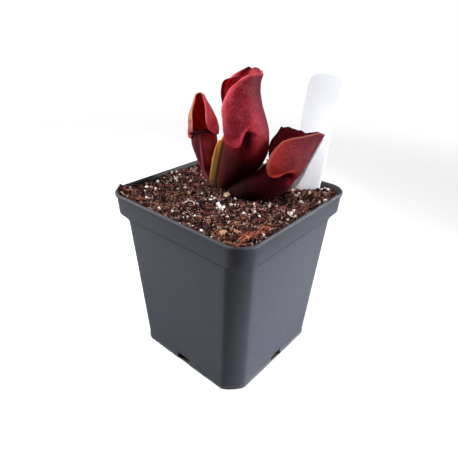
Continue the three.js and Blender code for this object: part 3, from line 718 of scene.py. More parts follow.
def leafSheet(leaf):
    hoodSide, tube, hood, lip = (leafSteps[k] for k in ("hoodSide", "tube", "hood", "lip"))
    around = hoodSide + leafSteps["frontSide"] + len(wingShape) - 1
    sheet = LeafSheet()
    rows = []
    base = leafFrame(leaf, 0)
    start = leaf["radii"][0]
    pole = sheet.add(base, np.zeros(1), np.zeros(1), np.zeros(1), np.array([-leafShape["foot"] * start]))
    sheet.outward[0] = -leafShape["footWall"] * base[1][None]
    for k in range(leafSteps["foot"], 0, -1):
        bend = k / (leafSteps["foot"] + 1) * math.pi / 2
        radius = start * math.cos(bend)
        angle, share = leafAngles(leaf, start)
        down = np.full(len(angle), -leafShape["foot"] * start * math.sin(bend))
        wing = along(leaf["wing"], 0) * share * math.cos(bend)
        rows.append(sheet.add(base, angle, *sheet.round(radius, angle), down, wing, 0, 0, share))
    for r in range(tube + 1):
        t = r / tube
        radius = along(leaf["radii"], t)
        angle, share = leafAngles(leaf, radius)
        lift = rimHeight(leaf, angle) * smooth(t, 0.6, 1)
        wing = along(leaf["wing"], t) * share
        level = leafFrame(leaf, t)
        rows.append(sheet.add(level, angle, *sheet.round(radius, angle), lift, wing, t, 0, share))
    for lower, upper in zip(rows, rows[1:]):
        sheet.knit([*lower, lower[0]], [*upper, upper[0]])
    first = [*rows[0], rows[0][0]]
    sheet.faces += [(pole[0], b, a) for a, b in zip(first, first[1:])]

    # the lip rolls outwards and down along the front of the mouth
    mouth = leafFrame(leaf, 1)
    mouthRadius = leaf["radii"][-1]
    angle, share = leafAngles(leaf, mouthRadius)
    order = [(i + around) % (2 * around) for i in range(hoodSide, 2 * around - hoodSide + 1)]
    angle = angle[order]
    distance = np.minimum(np.arange(len(order)), np.arange(len(order))[::-1])
    grown = smooth(distance / leafSteps["frontSide"], 0, 0.875)
    lower = [rows[-1][i] for i in order]
    for r in range(1, lip + 1):
        roll = r / lip * math.radians(leafShape["lipTurn"])
        size = leaf["roll"] * grown
        radius = mouthRadius + size * (1 - math.cos(roll))
        up = rimHeight(leaf, angle) + size * math.sin(roll)
        row = sheet.add(mouth, angle, *sheet.round(radius, angle), up, 0, 1, r / lip)
        turned = (roll * grown)[:, None]
        sheet.outward[-1] = sheet.outward[-1] * np.cos(turned) - mouth[1] * np.sin(turned)
        upper = [new if g > leafShape["lipLeast"] else old for new, old, g in zip(row, lower, grown)]
        sheet.knit(lower, upper)
        lower = upper

    # each row of the hood is an arc from edge to edge through the midline
    axil, axilUp = math.radians(leaf["axil"][0]), leaf["axil"][1]
    backKeys = [(-mouthRadius, 0), *leaf["back"]]
    seam = (mouthRadius * math.sin(axil), -mouthRadius * math.cos(axil), axilUp)
    nearKeys, farKeys = [seam, *leaf["edge"]], [seam, *leaf["farEdge"]]
    lower = [rows[-1][i + around] for i in range(-hoodSide, hoodSide + 1)]
    steps = np.arange(-hoodSide, hoodSide + 1)
    out = 1 - (1 - np.abs(steps) / hoodSide) ** leafShape["spacing"]
    (waveUp, waveAcross), (frillWide, frillFine) = leafShape["waves"], leafShape["frills"]
    p = np.sign(steps) * out
    for r in range(1, hood + 1):
        q = r / hood
        backForward, backUp = along(backKeys, q)
        far, near = (along(keys, q)[:, None] for keys in (farKeys, nearKeys))
        edgeSide, edgeForward, edgeUp = np.where(p > 0, far, near)
        reach = edgeForward - backForward
        radius = (edgeSide ** 2 + reach ** 2) / (2 * reach)
        half = np.arctan2(edgeSide, radius - reach)
        late = float(smooth(q, 0.5, 1))
        pointed = leaf["beak"] * late
        edges = np.maximum(smooth(out, 0.6, 1) * smooth(q, 0, 0.2), smooth(q, 0.8, 1))
        wave = np.sin(q * waveUp + p * waveAcross) * edges
        size = radius + leaf["ruffle"] * wave
        side = lerp(size * np.sin(p * half), p * out ** 0.3 * edgeSide, 0.9 * pointed)
        forward = lerp(backForward + radius - size * np.cos(p * half), backForward + out * reach, pointed)
        hold = 1 - smooth(q, 0, 0.5)
        drop = out ** lerp(leaf["fall"], leaf["tuck"], hold)
        rim = hold * (rimHeight(leaf, axil * out) - drop * axilUp)
        up = lerp(backUp, edgeUp, drop) + rim
        crest = np.array([along(leaf["farCrest" if x > 0 else "nearCrest"], abs(x)) for x in p])
        frill = np.sin(out * frillWide + 2 * leaf["seed"]) + 0.7 * np.sin(out * frillFine + leaf["seed"])
        frill = leaf["frill"] * (frill * smooth(q, 0.86, 1)) * np.where(p > 0, 1, leafShape["nearFrill"])
        up = up + crest * smooth(q, 0.55, 1) + frill
        flatFacing = np.sign(steps) * (math.pi / 2 - np.arctan2(edgeSide, reach))
        atEdge = np.maximum(smooth(out, 0.8, 1) * smooth(q, 0, 0.12), smooth(q, 0.9, 1))
        upper = sheet.add(
            mouth, lerp(p * half, flatFacing, pointed), side, forward, up, 0, 1 + q, atEdge, 0, p / 2
        )
        sheet.knit(lower, upper)
        lower = upper
    return sheet


def vertexNormals(points, faces):
    normals = np.zeros_like(points)
    for size in (3, 4):
        group = np.array([f for f in faces if len(f) == size], int)
        if len(group):
            a, b = points[group[:, 2]] - points[group[:, 0]], points[group[:, -1]] - points[group[:, 1]]
            if size == 3:
                a, b = points[group[:, 1]] - points[group[:, 0]], points[group[:, 2]] - points[group[:, 0]]
            across = np.cross(a, b)
            for k in range(size):
                np.add.at(normals, group[:, k], across)
    return normals / np.maximum(np.linalg.norm(normals, axis=1, keepdims=True), 1e-9)


def openEdges(faces):  # the loop of points round the free edge, in the faces' own direction
    pairs = {(f[k], f[(k + 1) % len(f)]) for f in faces for k in range(len(f))}
    step = {a: b for a, b in pairs if (b, a) not in pairs}
    start = next(iter(sorted(step)))
    loop = [start]
    while step[loop[-1]] != start:
        loop.append(step[loop[-1]])
    return loop


def leafShell(leaf):  # the sheet with its wall, closed round the free edge by a rounded strip
    sheet = leafSheet(leaf)
    points, outward, push = (np.concatenate(x) for x in (sheet.points, sheet.outward, sheet.push))
    rise, turn, edge, share = np.concatenate(sheet.marks).T
    normals = vertexNormals(points, sheet.faces)
    lumps = leafWall["lumps"] * bumps(points, leafWall["lumpSize"], leaf["seed"])
    ripples = leafWall["ripples"] * bumps(points, leafWall["rippleSize"], leaf["seed"] + 1)
    points = points + normals * ((lumps + ripples) * smooth(rise, 0.1, 0.5))[:, None]
    # a dent below the near lobe, whose weight the material reads to paint shade in it
    spot, side, depth, reach, tall = leaf["hollow"]
    length = np.linalg.norm(np.diff(leaf["spine"], axis=0), axis=1).sum()
    away = np.hypot((rise - spot) * length / tall, (turn - side) * math.pi * leaf["radii"][-1])
    hollow = np.exp(-((away / reach) ** 2)) * (1 - smooth(edge, 0, 0.5))
    points = points - outward * (depth * hollow)[:, None]
    facing = np.maximum((normals * outward).sum(1), 0.75)
    wall = lerp(leafWall["thick"], leafWall["thin"], edge) / facing
    outer, inner = points + push, points - outward * wall[:, None]
    loop = openEdges(sheet.faces)
    ring = points[loop]
    tangent = unit(np.roll(ring, -1, 0) - np.roll(ring, 1, 0))
    away = unit(np.cross(tangent, normals[loop]))
    middle, half = (outer[loop] + inner[loop]) / 2, (outer[loop] - inner[loop]) / 2
    reach = np.linalg.norm(half, axis=1, keepdims=True)
    bends = [math.radians(x) for x in (35, 70, 110, 145)]
    strip = [middle + half * math.cos(b) + away * reach * math.sin(b) for b in bends]
    count = len(points)
    faces = list(sheet.faces) + [tuple(i + count for i in reversed(f)) for f in sheet.faces]
    chains = [loop] + [[2 * count + k * len(loop) + i for i in range(len(loop))] for k in range(len(strip))]
    chains.append([i + count for i in loop])
    for a, b in zip(chains, chains[1:]):
        faces += [(a[(i + 1) % len(loop)], a[i], b[i], b[(i + 1) % len(loop)]) for i in range(len(loop))]
    hollow = hollow if depth else 0 * hollow
    marks = {"rise": rise, "turn": turn, "edge": edge, "wing": share, "hollow": hollow}
    values = {k: np.concatenate([v, v, *[v[loop]] * len(strip)]) for k, v in marks.items()}
    values["edge"][2 * count:] = 1
    rounded = [np.full(len(loop), 0.5)] * len(strip)
    values["inside"] = np.concatenate([np.zeros(count), np.ones(count), *rounded])
    everything = np.concatenate([outer, inner, *strip])
    used = np.zeros(len(everything), bool)
    used[np.unique([i for f in faces for i in f])] = True
    index = np.cumsum(used) - 1
    faces = [tuple(int(index[i]) for i in f) for f in faces]
    return onPlant(everything[used]), faces, {k: v[used] for k, v in values.items()}


def makePitchers():
    made = {}
    for name, leaf in pitchers.items():
        points, faces, values = leafShell(leaf)
        piece = makePiece(name, points, faces, leafMaterial(name), values)
        made[name] = finishPiece(piece, "pitcher_red", leaf["node"])
    return made


leafLooks = {  # each for the tall, the left and the right pitcher; colours as screen values
    "deep": ((108, 10, 25), (98, 12, 25), (64, 10, 14)),
    "main": ((144, 22, 39), (136, 23, 37), (86, 20, 25)),
    "light": ((190, 72, 90), (182, 76, 86), (118, 46, 52)), "mottle": (0.5, 0.5, 0.35),
    "net": (620.0, 700.0, 640.0), "blushAndLight": ((150, 40, 52), (212, 86, 100), (140, 36, 28)),
    "blushAndLightFrom": (-0.5, -0.3, -0.46), "blushAndLightTo": (-0.3, 0.0, -0.27), "blushAndLightShare": (0.5, 0.8, 0.85),
    "blushAndLightLow": (1.0, 0.4, 1.0), "back": ((80, 28, 38), (110, 20, 34), (74, 22, 32)),
    "behind": (0.92, 0.3, 0.9), "tan": ((150, 44, 50), (142, 94, 66), (80, 10, 14)),
    "tanned": (0.0, 0.9, 0.0), "base": ((50, 9, 11), (60, 12, 16), (40, 3, 6)),
    "middle": ((106, 14, 22), (96, 20, 32), (64, 7, 12)), "darkTo": (0.6, 0.2, 1.0),
    "darkFrom": (1.0, 0.6, 1.16), "shade": (0.19, 0.0, 0.0),
    "inside": ((194, 54, 66), (196, 30, 38), (62, 8, 13)),
    "insideLight": ((236, 160, 148), (214, 96, 88), (118, 36, 44)), "hairs": (0.55, 0.6, 0.5),
    "throatShade": ((34, 3, 5), (22, 2, 4), (26, 4, 5)), "throatTo": (1.2, 1.12, 1.3),
    "top": ((112, 20, 28), (96, 12, 34), (50, 8, 12)), "topShare": (0.8, 0.8, 0.6),
    "flank": (0.0, 0.85, 0.0), "flankColour": ((60, 12, 20), (62, 14, 30), (40, 8, 12)),
    # the rim colours paint a pale highlight along the hood's upper free edge
    "rim": (0.45, 0.5, 0.4), "rimFrom": (0.55, 0.75, 0.75),
    "rimHighlightColour": ((196, 84, 96), (206, 104, 104), (150, 96, 84)), "farRim": (0.85, 0.7, 0.85),
    "farRimColour": ((80, 10, 22), (170, 116, 84), (34, 5, 10)),
    "foot": ((52, 28, 22), (60, 26, 24), (26, 8, 8)), "footTo": (0.06, 0.04, 0.2),
    "footFrom": (0.26, 0.22, 0.5), "down": (0.3, 0.26, 0.3),
    "downColour": ((214, 122, 132), (206, 116, 120), (160, 84, 80)), "wing": (1.0, 0.3, 0.3),
    "keelFrom": (0.84, 0.97, 0.97), "wingColour": ((192, 134, 58), (190, 130, 120), (100, 40, 34)),
    "wingDeep": ((152, 98, 40), (150, 80, 80), (70, 24, 22)),
    "wingMiddle": ((150, 118, 58), (170, 110, 104), (80, 30, 26)),
    "wingLow": ((88, 76, 46), (110, 50, 50), (60, 20, 18)),
    "wingTop": ((170, 100, 54), (110, 30, 40), (60, 14, 14)),
    "wingSide": ((50, 18, 12), (90, 24, 34), (50, 12, 12)), "gloss": (0.06, 0.08, 0.04),
}
leafRoughness = 0.5
leafSpans = {  # where each mask begins and ends to grow
    "veins": (0.02, 0.22), "deep": (0.35, 0.65), "pale": (0.46, 0.68), "down": (0.53, 0.66),
    "downRise": (0.6, 1.0), "back": (0.05, 0.4), "flank": (0.1, 0.45), "tan": (0.26, 0.42),
    "tanRise": (1.35, 1.6), "tanBroad": (0.38, 0.55), "shade": (0.93, 1.1), "hollow": (0.12, 0.5),
    "hairs": (0.5, 0.66), "top": (1.87, 1.95), "lip": (0.1, 0.5), "rim": (1.45, 1.7),
    "far": (0.0, 0.12), "wingRise": (0.45, 0.95), "wing": (0.02, 0.2), "keel": (0.12, 0.6),
    "streaks": (0.4, 0.65), "middle": (0.3, 0.6), "low": (0.02, 0.27), "high": (0.7, 1.0),
}


def leafMaterial(name):
    which, span = list(pitchers).index(name), leafSpans
    look = {key: values[which] for key, values in leafLooks.items()}
    look = {key: colour(*value) if isinstance(value, tuple) else value for key, value in look.items()}
    material, shader, where = newMaterial(
        name + "Skin", IOR=1.45, Specular_IOR_Level=look["gloss"], Subsurface_Weight=0.3,
        Subsurface_Radius=(1.0, 0.16, 0.1), Subsurface_Scale=0.0016,
    )
    tree = where.id_data
    rise, turn, edge, wing, inside = (reading(where, k) for k in ("rise", "turn", "edge", "wing", "inside"))
    broad = noiseAt(where, 110.0, 3.0, 0.6, 0.3)
    relief, mask = grainAt(where, 2200.0, 700.0, 0.5)
    bent = put(tree, "ShaderNodeTexNoise", {"Vector": where, "Scale": 500.0, "Detail": 2.0}).outputs["Color"]
    bent = vectorMath("ADD", {0: where, 1: vectorMath("SCALE", {0: bent, "Scale": 0.0016})})
    net = fall(toEdge(bent, look["net"]), *span["veins"])  # the fine net of veins
    hairs = ramp(noiseAt(where, 1900.0, 2.0, 0.6), *span["hairs"])
    within = mix(times(hairs, look["hairs"]), look["inside"], look["insideLight"])
    # painted shade: the inner surface goes near black down the throat and a little way up the hood
    within = mix(fall(rise, 0.95, look["throatTo"]), within, look["throatShade"])
    within = mix(ramp(rise, *span["top"], 0.0, look["topShare"]), within, look["top"])
    tone = ramp(noiseAt(stretched(where, 0.12), 900.0, 3.0), *span["streaks"])
    wingTone = mix(tone, look["wingColour"], look["wingDeep"])
    wingTone = mix(fall(rise, *span["middle"]), wingTone, look["wingMiddle"])
    wingTone = mix(fall(rise, *span["low"]), wingTone, look["wingLow"])
    wingTone = mix(ramp(rise, *span["high"]), wingTone, look["wingTop"])
    rimTone = mix(ramp(turn, *span["far"]), look["rimHighlightColour"], look["farRimColour"])
    pale = plus(times(mask, 0.25), times(net, 0.28))
    pale = plus(pale, ramp(noiseAt(where, 210.0, 3.0, 0.6, 0.5), *span["pale"], 0.0, 0.7))
    down = ramp(noiseAt(where, 1900.0, 2.0, 0.7), *span["down"])
    # a paler, pinker near side: partly the leaf's own blush and partly painted light
    blushAndLight = fall(plus(turn, times(broad, 0.1)), look["blushAndLightFrom"], look["blushAndLightTo"])
    blushAndLight = times(blushAndLight, ramp(rise, look["blushAndLightLow"], look["blushAndLightLow"] + 0.1))
    tanned = times(ramp(turn, *span["tan"]), ramp(rise, *span["tanRise"]))
    tanned = times(tanned, ramp(broad, *span["tanBroad"]))
    level = plus(rise, times(broad, 0.2))
    # painted shade: on the tall pitcher the tube's dark reaches up to just below the mouth, under the near
    # lobe
    level = math2("SUBTRACT", level, ramp(rise, *span["shade"], look["shade"], 0.0))
    # painted shade: the rolled lip round the mouth takes the throat's near-black
    lip = times(ramp(edge, *span["lip"]), fall(rise, 1.0, 1.02))
    # painted highlight: a pale line along the hood's upper free edge on the near side; on the far side the
    # band takes the far rim colour
    rim = times(ramp(edge, look["rimFrom"], 1.0), ramp(rise, *span["rim"]))
    front = ramp(math2("ABSOLUTE", turn), look["keelFrom"] - 0.12, look["keelFrom"] + 0.07)
    front = times(math2("MAXIMUM", front, ramp(wing, *span["wing"])), look["wing"])
    base = look["deep"]
    for share, over in (  # each layer covers those before it
        (ramp(broad, *span["deep"]), look["main"]), (times(pale, look["mottle"]), look["light"]),
        (times(down, ramp(rise, *span["downRise"], 0.0, look["down"])), look["downColour"]),
        # painted shade: the back of each pitcher is darker, most on the tall and the right one
        (times(fall(math2("ABSOLUTE", turn), *span["back"]), look["behind"]), look["back"]),
        # partly blush, partly painted light on the near side
        (times(blushAndLight, look["blushAndLightShare"]), look["blushAndLight"]),
        # painted shade: on the left pitcher the tube's far flank below the mouth is darker
        (times(ramp(turn, *span["flank"], 0.0, look["flank"]), fall(rise, 0.95, 1.03)), look["flankColour"]),
        (times(tanned, look["tanned"]), look["tan"]),
        (fall(level, look["darkTo"] + 0.15, look["darkFrom"] + 0.15), look["middle"]),
        (fall(level, look["darkTo"] - 0.1, look["darkFrom"] - 0.15), look["base"]),
        # painted shade: dark in the dent below the near lobe
        (ramp(reading(where, "hollow"), *span["hollow"], 0.0, 0.95), look["base"]),
        (math2("GREATER_THAN", inside, 0.6), within), (lip, look["throatShade"]),
        # painted highlight along the hood's free edge
        (times(rim, ramp(turn, *span["far"], look["rim"], look["farRim"])), rimTone),
        (times(front, fall(rise, *span["wingRise"])), look["wingSide"]),
        (times(ramp(wing, *span["keel"]), look["wing"]), wingTone),
        (ramp(plus(rise, times(mask, 0.06)), look["footTo"], look["footFrom"], 0.9, 0.0), look["foot"]),
    ):
        base = mix(share, base, over)
    plug(base, shader, "Base Color")
    rough = plus(times(mask, 0.12), leafRoughness)
    dull = plus(times(fall(level, look["darkTo"], look["darkFrom"]), 0.3), times(lip, 0.35))
    plug(plus(rough, dull), shader, "Roughness")
    addBump(shader, relief, 0.25, 0.25)
    return material


leaves = makePitchers()
print("pitchers are made")


rhizome = {
    "radius": 6, "top": -1.2, "depth": 24, "rings": 44, "sides": 36, "scar": 0.35, "scars": 7,
    "scarShift": 0.6, "foot": 0.45, "swelling": 0.62, "cap": (0.9, 0.1), "capLeast": 0.35,
    "lumps": 0.25, "lumpSize": 2.4, "roots": 5, "rootFrom": 20, "rootLength": 36, "rootRadius": 1.1,
    "rootTaper": (1.1, 0.6), "rootAt": 0.6, "rootReach": (1.5, 11, 3), "rootBend": 1.2, "rootDrop": 3,
    "rootSteps": 26, "rootSides": 10,
    "look": {
        "dark": colour(60, 32, 22), "brown": colour(122, 74, 44), "pale": colour(176, 132, 92),
        "paleShare": 0.3, "grain": (2400.0, 380.0, 0.7), "patches": (700.0, 4.0),
        "span": (0.4, 0.65), "bump": (0.7, 0.4),
    },
}


def earthMaterial(name, look, **plain):  # patches of two colours under a paler grain
    material, shader, where = newMaterial(name, **plain)
    relief, mask = grainAt(where, *look["grain"])
    base = mix(ramp(noiseAt(where, *look["patches"]), *look["span"]), look["dark"], look["brown"])
    plug(mix(times(mask, look["paleShare"]), base, look["pale"]), shader, "Base Color")
    addBump(shader, relief, *look["bump"])
    return material


def tubeAlong(path, radii, sides, points, faces):  # adds a closed tapering tube to points and faces
    path = np.asarray(path, float)
    tangent = unit(np.gradient(path, axis=0))
    u = unit(np.cross(tangent, (1.0, 0.0, 0.0)))
    v = np.cross(tangent, u)
    angle = circle(sides)
    rings = [
        middle + radius * (np.outer(np.cos(angle), a) + np.outer(np.sin(angle), b))
        for middle, radius, a, b in zip(path, radii, u, v)
    ]
    join(points, faces, *loft(rings))


def thinned(t, share, power):  # full in the middle, thinner by that share at both ends
    return 1 - share * np.abs(2 * t - 1) ** power


def makeRhizome():
    top, depth, radius = rhizome["top"], rhizome["depth"], rhizome["radius"]
    capFrom, capLength = rhizome["cap"]
    rootStart, rootReach, rootUneven = rhizome["rootReach"]
    angle = circle(rhizome["sides"])
    rings = []
    for k in range(rhizome["rings"] + 1):
        t = k / rhizome["rings"]
        phase = t * rhizome["scars"] * math.pi + rhizome["scarShift"] * math.pi
        scar = rhizome["scar"] * (0.5 + 0.5 * math.sin(phase))
        cap = math.sqrt(max(1 - ((t - capFrom) / capLength) ** 2, 0)) if t > capFrom else 1
        swollen = lerp(rhizome["foot"], 1, math.sin(t * math.pi * rhizome["swelling"]))
        width = (radius * swollen + scar) * lerp(rhizome["capLeast"], 1, cap)
        level = np.full(len(angle), top - depth * (1 - t))
        rings.append(np.column_stack([width * np.cos(angle), width * np.sin(angle), level]))
    points, faces = loft(rings)
    points = np.array(points)
    outward = unit(points * (1, 1, 0) + (1e-6, 0, 0))
    points = list(points + outward * (rhizome["lumps"] * bumps(points, rhizome["lumpSize"], 21))[:, None])
    for k in range(rhizome["roots"]):
        heading = math.radians(rhizome["rootFrom"] + 360 / rhizome["roots"] * k)
        t = np.linspace(0, 1, rhizome["rootSteps"])
        out = rootStart + (rootReach + rootUneven * (k % 2)) * np.sin(t * rhizome["rootBend"])
        z = top - depth * rhizome["rootAt"] - rhizome["rootLength"] * (0.5 * t + 0.5 * t * t)
        z = z - rhizome["rootDrop"] * (k % 3)
        path = np.column_stack([math.cos(heading) * out, math.sin(heading) * out, z])
        radii = rhizome["rootRadius"] * lerp(*rhizome["rootTaper"], t)
        tubeAlong(path, radii, rhizome["rootSides"], points, faces)
    material = earthMaterial("rhizomeSkin", rhizome["look"], Roughness=0.7)
    piece = makePiece("crownAndRoots", onPlant(np.array(points)), faces, material)
    return finishPiece(piece, "rhizome_skin", "rhizome")


scales = {
    "count": 44, "nearest": 3.6, "farthest": 8.2, "tall": (1.8, 4.4), "wide": (1.4, 3.0), "out": (-0.2, 0.7),
    "thick": 0.22, "sunk": 1.6, "steps": 6, "sides": 10, "seed": 5,
    "stray": 0.3, "taper": (2.2, 0.6), "least": 0.12, "cupped": 0.25,
}


def makeScales():  # the papery feet of old leaves, round the crown
    draws = np.random.default_rng(scales["seed"])
    angle = circle(scales["sides"])
    late, blunt = scales["taper"]
    points, faces, tints = [], [], []
    for k in range(scales["count"]):
        heading = 2 * math.pi * (k + draws.uniform(-scales["stray"], scales["stray"])) / scales["count"]
        outward = np.array((math.cos(heading), math.sin(heading), 0))
        across = np.array((-outward[1], outward[0], 0))
        root = outward * draws.uniform(scales["nearest"], scales["farthest"])
        tall, wide, lean = (draws.uniform(*scales[key]) for key in ("tall", "wide", "out"))
        rings = []
        for t in np.linspace(0, 1, scales["steps"] + 1):
            up = (0, 0, (tall + scales["sunk"]) * t - scales["sunk"])
            middle = root + outward * (lean * tall * t * t) + up
            half = wide / 2 * (1 - t ** late) ** blunt + scales["least"]
            u, w = half * np.cos(angle), scales["thick"] / 2 * np.sin(angle)
            w = w - scales["cupped"] * u * u / (wide / 2)
            rings.append(middle + np.outer(u, across) + np.outer(w, outward))
        join(points, faces, *loft(rings))
        tints.extend([draws.uniform(0, 1)] * (len(points) - len(tints)))
    piece = makePiece("crownScales", onPlant(np.array(points)), faces, scaleMaterial(), {"tint": tints})
    recalculate(piece)
    return finishPiece(piece, "rhizome_skin")


def scaleMaterial():
    look = {"dark": colour(34, 15, 14), "brown": colour(78, 46, 36), "pale": colour(132, 98, 80)}
    material, shader, where = newMaterial("oldLeafFeet", Roughness=0.8, Specular_IOR_Level=0.15)
    streak = stretched(where, 0.2)
    base = mix(ramp(noiseAt(streak, 1800.0, 3.0), 0.35, 0.65), look["dark"], look["brown"])
    pale = times(ramp(reading(where, "tint"), 0.5, 1.0), 0.6)
    plug(mix(pale, base, look["pale"]), shader, "Base Color")
    addBump(shader, grainAt(streak, 3200.0, 600.0, 0.8)[0], 0.6, 0.3)
    return material


makeRhizome()
makeScales()
print("crown and roots are made")


label = {
    "width": 15.9, "length": 77, "thick": 0.9, "corner": 5, "crown": 1, "point": 16, "bevel": 0.2,
    "sharpAngle": 15, "roughness": 0.34,
}
labelPlace = {"x": 23.0, "y": 33.7, "bottom": 76.1, "turn": 26.3, "lean": 3.5}


def onLabel(points):  # from the label's own frame, upright in its XZ plane, to the pot's
    turn = Matrix.Rotation(math.radians(labelPlace["turn"]), 3, "Z")
    lean = Matrix.Rotation(math.radians(labelPlace["lean"]), 3, "Y")
    spin = np.array(turn @ lean)
    return np.asarray(points) @ spin.T + (labelPlace["x"], labelPlace["y"], labelPlace["bottom"])


def labelMaterial():
    look = {"plastic": colour(240, 243, 255), "shade": colour(232, 236, 252), "soil": colour(120, 92, 74)}
    material, shader, where = newMaterial(
        "labelPlastic", IOR=1.47, Subsurface_Weight=0.5, Subsurface_Radius=(1, 1, 1), Subsurface_Scale=0.002,
    )
    relief, mask = grainAt(where, 4200.0, 260.0, 0.6)
    base = mix(times(mask, 0.35), look["plastic"], look["shade"])
    low = fall(reading(where, "rise"), 0.215, 0.25)
    smear = ramp(noiseAt(where, 620.0, 5.0, 0.7), 0.45, 0.7)
    dirt = times(times(low, smear), 0.55)
    plug(mix(dirt, base, look["soil"]), shader, "Base Color")
    plug(plus(times(mask, 0.1), label["roughness"]), shader, "Roughness")
    addBump(shader, relief, 0.1, 0.1)
    return material


def labelOutline():
    half, corner, crown, length = label["width"] / 2, label["corner"], label["crown"], label["length"]

    def curve(a, b, c, steps=10):
        t = np.linspace(0, 1, steps + 1)[:, None]
        return list((1 - t) ** 2 * np.array(a) + 2 * t * (1 - t) * np.array(b) + t * t * np.array(c))

    def line(a, b, steps):
        return list(lerp(np.array(a, float), np.array(b, float), np.linspace(0, 1, steps + 1)[:, None]))[:-1]

    top = length - corner - crown
    right = line((0, 0), (half, label["point"]), 8) + line((half, label["point"]), (half, top), 24)
    right += curve((half, top), (half, length - crown), (half - corner, length - crown / 2))[:-1]
    arch = curve((half - corner, length - crown / 2), (0, length), (corner - half, length - crown / 2))[:-1]
    left = [np.array((-p[0], p[1])) for p in reversed(right)]
    return np.array(right + arch + left[:-1])


def makeLabel():
    edge = labelOutline()
    half, bevel = label["thick"] / 2, label["bevel"]
    tangent = unit(np.roll(edge, -1, axis=0) - np.roll(edge, 1, axis=0))
    inward = np.column_stack([-tangent[:, 1], tangent[:, 0]])
    # the broad faces close over a smaller outline
    inner = np.column_stack([0.5 * edge[:, 0], lerp(label["length"] * 0.55, edge[:, 1], 0.9)])
    rings = [(inner, -half)]
    for depth, inset in ((-half, bevel), (-half + 0.3 * bevel, 0.3 * bevel), (-half + bevel, 0)):
        rings.append((edge + inward * inset, depth))
    rings += [(ring, -depth) for ring, depth in reversed(rings)]
    made = [np.column_stack([ring[:, 0], np.full(len(ring), depth), ring[:, 1]]) for ring, depth in rings]
    points, faces = loft(made)
    points = np.array(points)
    values = {"rise": points[:, 2] / label["length"]}
    piece = makePiece("labelStrip", onLabel(points), faces, labelMaterial(), values)
    recalculate(piece)
    piece.data.set_sharp_from_angle(angle=math.radians(label["sharpAngle"]))
    return finishPiece(piece, "label_plastic", "label")


labelStrip = makeLabel()
print("label is made")


soil = {
    "roughness": 0.45, "rings": 60, "cornerSteps": 14, "sideSteps": 50,
    "clods": 0.6, "clodSize": 3.8, "relief": 0.45, "reliefSize": 1.3, "atWall": 0.45, "wallSpan": (33, 42),
    "fromWall": 0.35, "fromLip": 1.6, "ringCrowding": 0.9, "clear": 0.15, "mostRoom": 3,
    "look": {
        "dark": colour(14, 5, 7), "brown": colour(44, 19, 20), "pale": colour(88, 54, 44), "paleShare": 0.2,
        "grain": (2600.0, 520.0, 0.9), "patches": (900.0, 5.0, 0.7), "span": (0.42, 0.62), "bump": (1.0, 0.5),
    },
}
# x, y, reach and depth or height
dents = [(plant["x"], plant["y"], 9, 1.4), (10.6, 6.6, 9, 1.8), (19.6, 6.6, 9, 1.6)]
mounds = [
    (-42, -38, 4.5, 2.4), (37.5, -29.5, 4, 1.1), (13, -33, 5, 0.8), (-36, -6, 6, 0.5), (36, 30, 7, 0.5),
    (-3.5, -3.5, 4.5, 2.2),
]


def highest(heaps, x, y):  # the strongest of the round heaps at a place
    return np.max([
        tall * np.exp(-((x - heapX) ** 2 + (y - heapY) ** 2) / reach ** 2)
        for heapX, heapY, reach, tall in heaps
    ], axis=0)


def soilHeight(x, y):
    waves = (  # about 20, 8 and 3 mm long
        np.sin(x * 0.31 + y * 0.12) * np.cos(y * 0.27 - x * 0.08)
        + 0.7 * np.sin(x * 0.83 + 1.7) * np.sin(y * 0.74 + 0.4)
        + 0.5 * np.sin(x * 1.7 - y * 1.3)
    )
    toWall = np.maximum(np.abs(x), np.abs(y))
    level = soilLevel + soil["roughness"] * waves - highest(dents, x, y) + highest(mounds, x, y)
    return level + soil["atWall"] * smooth(toWall, *soil["wallSpan"])


def tintMaterial(name, tints, roughness, bump):  # grains of several colours, picked by their tint
    material, shader, where = newMaterial(name, Roughness=roughness, Specular_IOR_Level=0.12)
    relief, mask = grainAt(where, 3600.0, 900.0, 0.8)
    blur = times(math2("SUBTRACT", noiseAt(where, 1400.0, 3.0), 0.5), 0.16)
    pick = put(where.id_data, "ShaderNodeValToRGB", {0: plus(reading(where, "tint"), blur)})
    stops = pick.color_ramp.elements
    while len(stops) < len(tints):
        stops.new(0.5)
    for stop, (position, tint) in zip(stops, tints):
        stop.position = position
        stop.color = colour(*tint)
    darker = mix(times(mask, 0.35), pick.outputs[0], colour(18, 10, 8))
    plug(darker, shader, "Base Color")
    addBump(shader, relief, bump, 0.3)
    return material


def neighbourTree():  # the shapes that rise from the soil, to keep crumbs off them
    points, faces = [], []
    for piece in [*leaves.values(), labelStrip]:
        mesh = piece.data
        join(points, faces, [v.co.copy() for v in mesh.vertices], [f.vertices for f in mesh.polygons])
    return BVHTree.FromPolygons(points, faces)


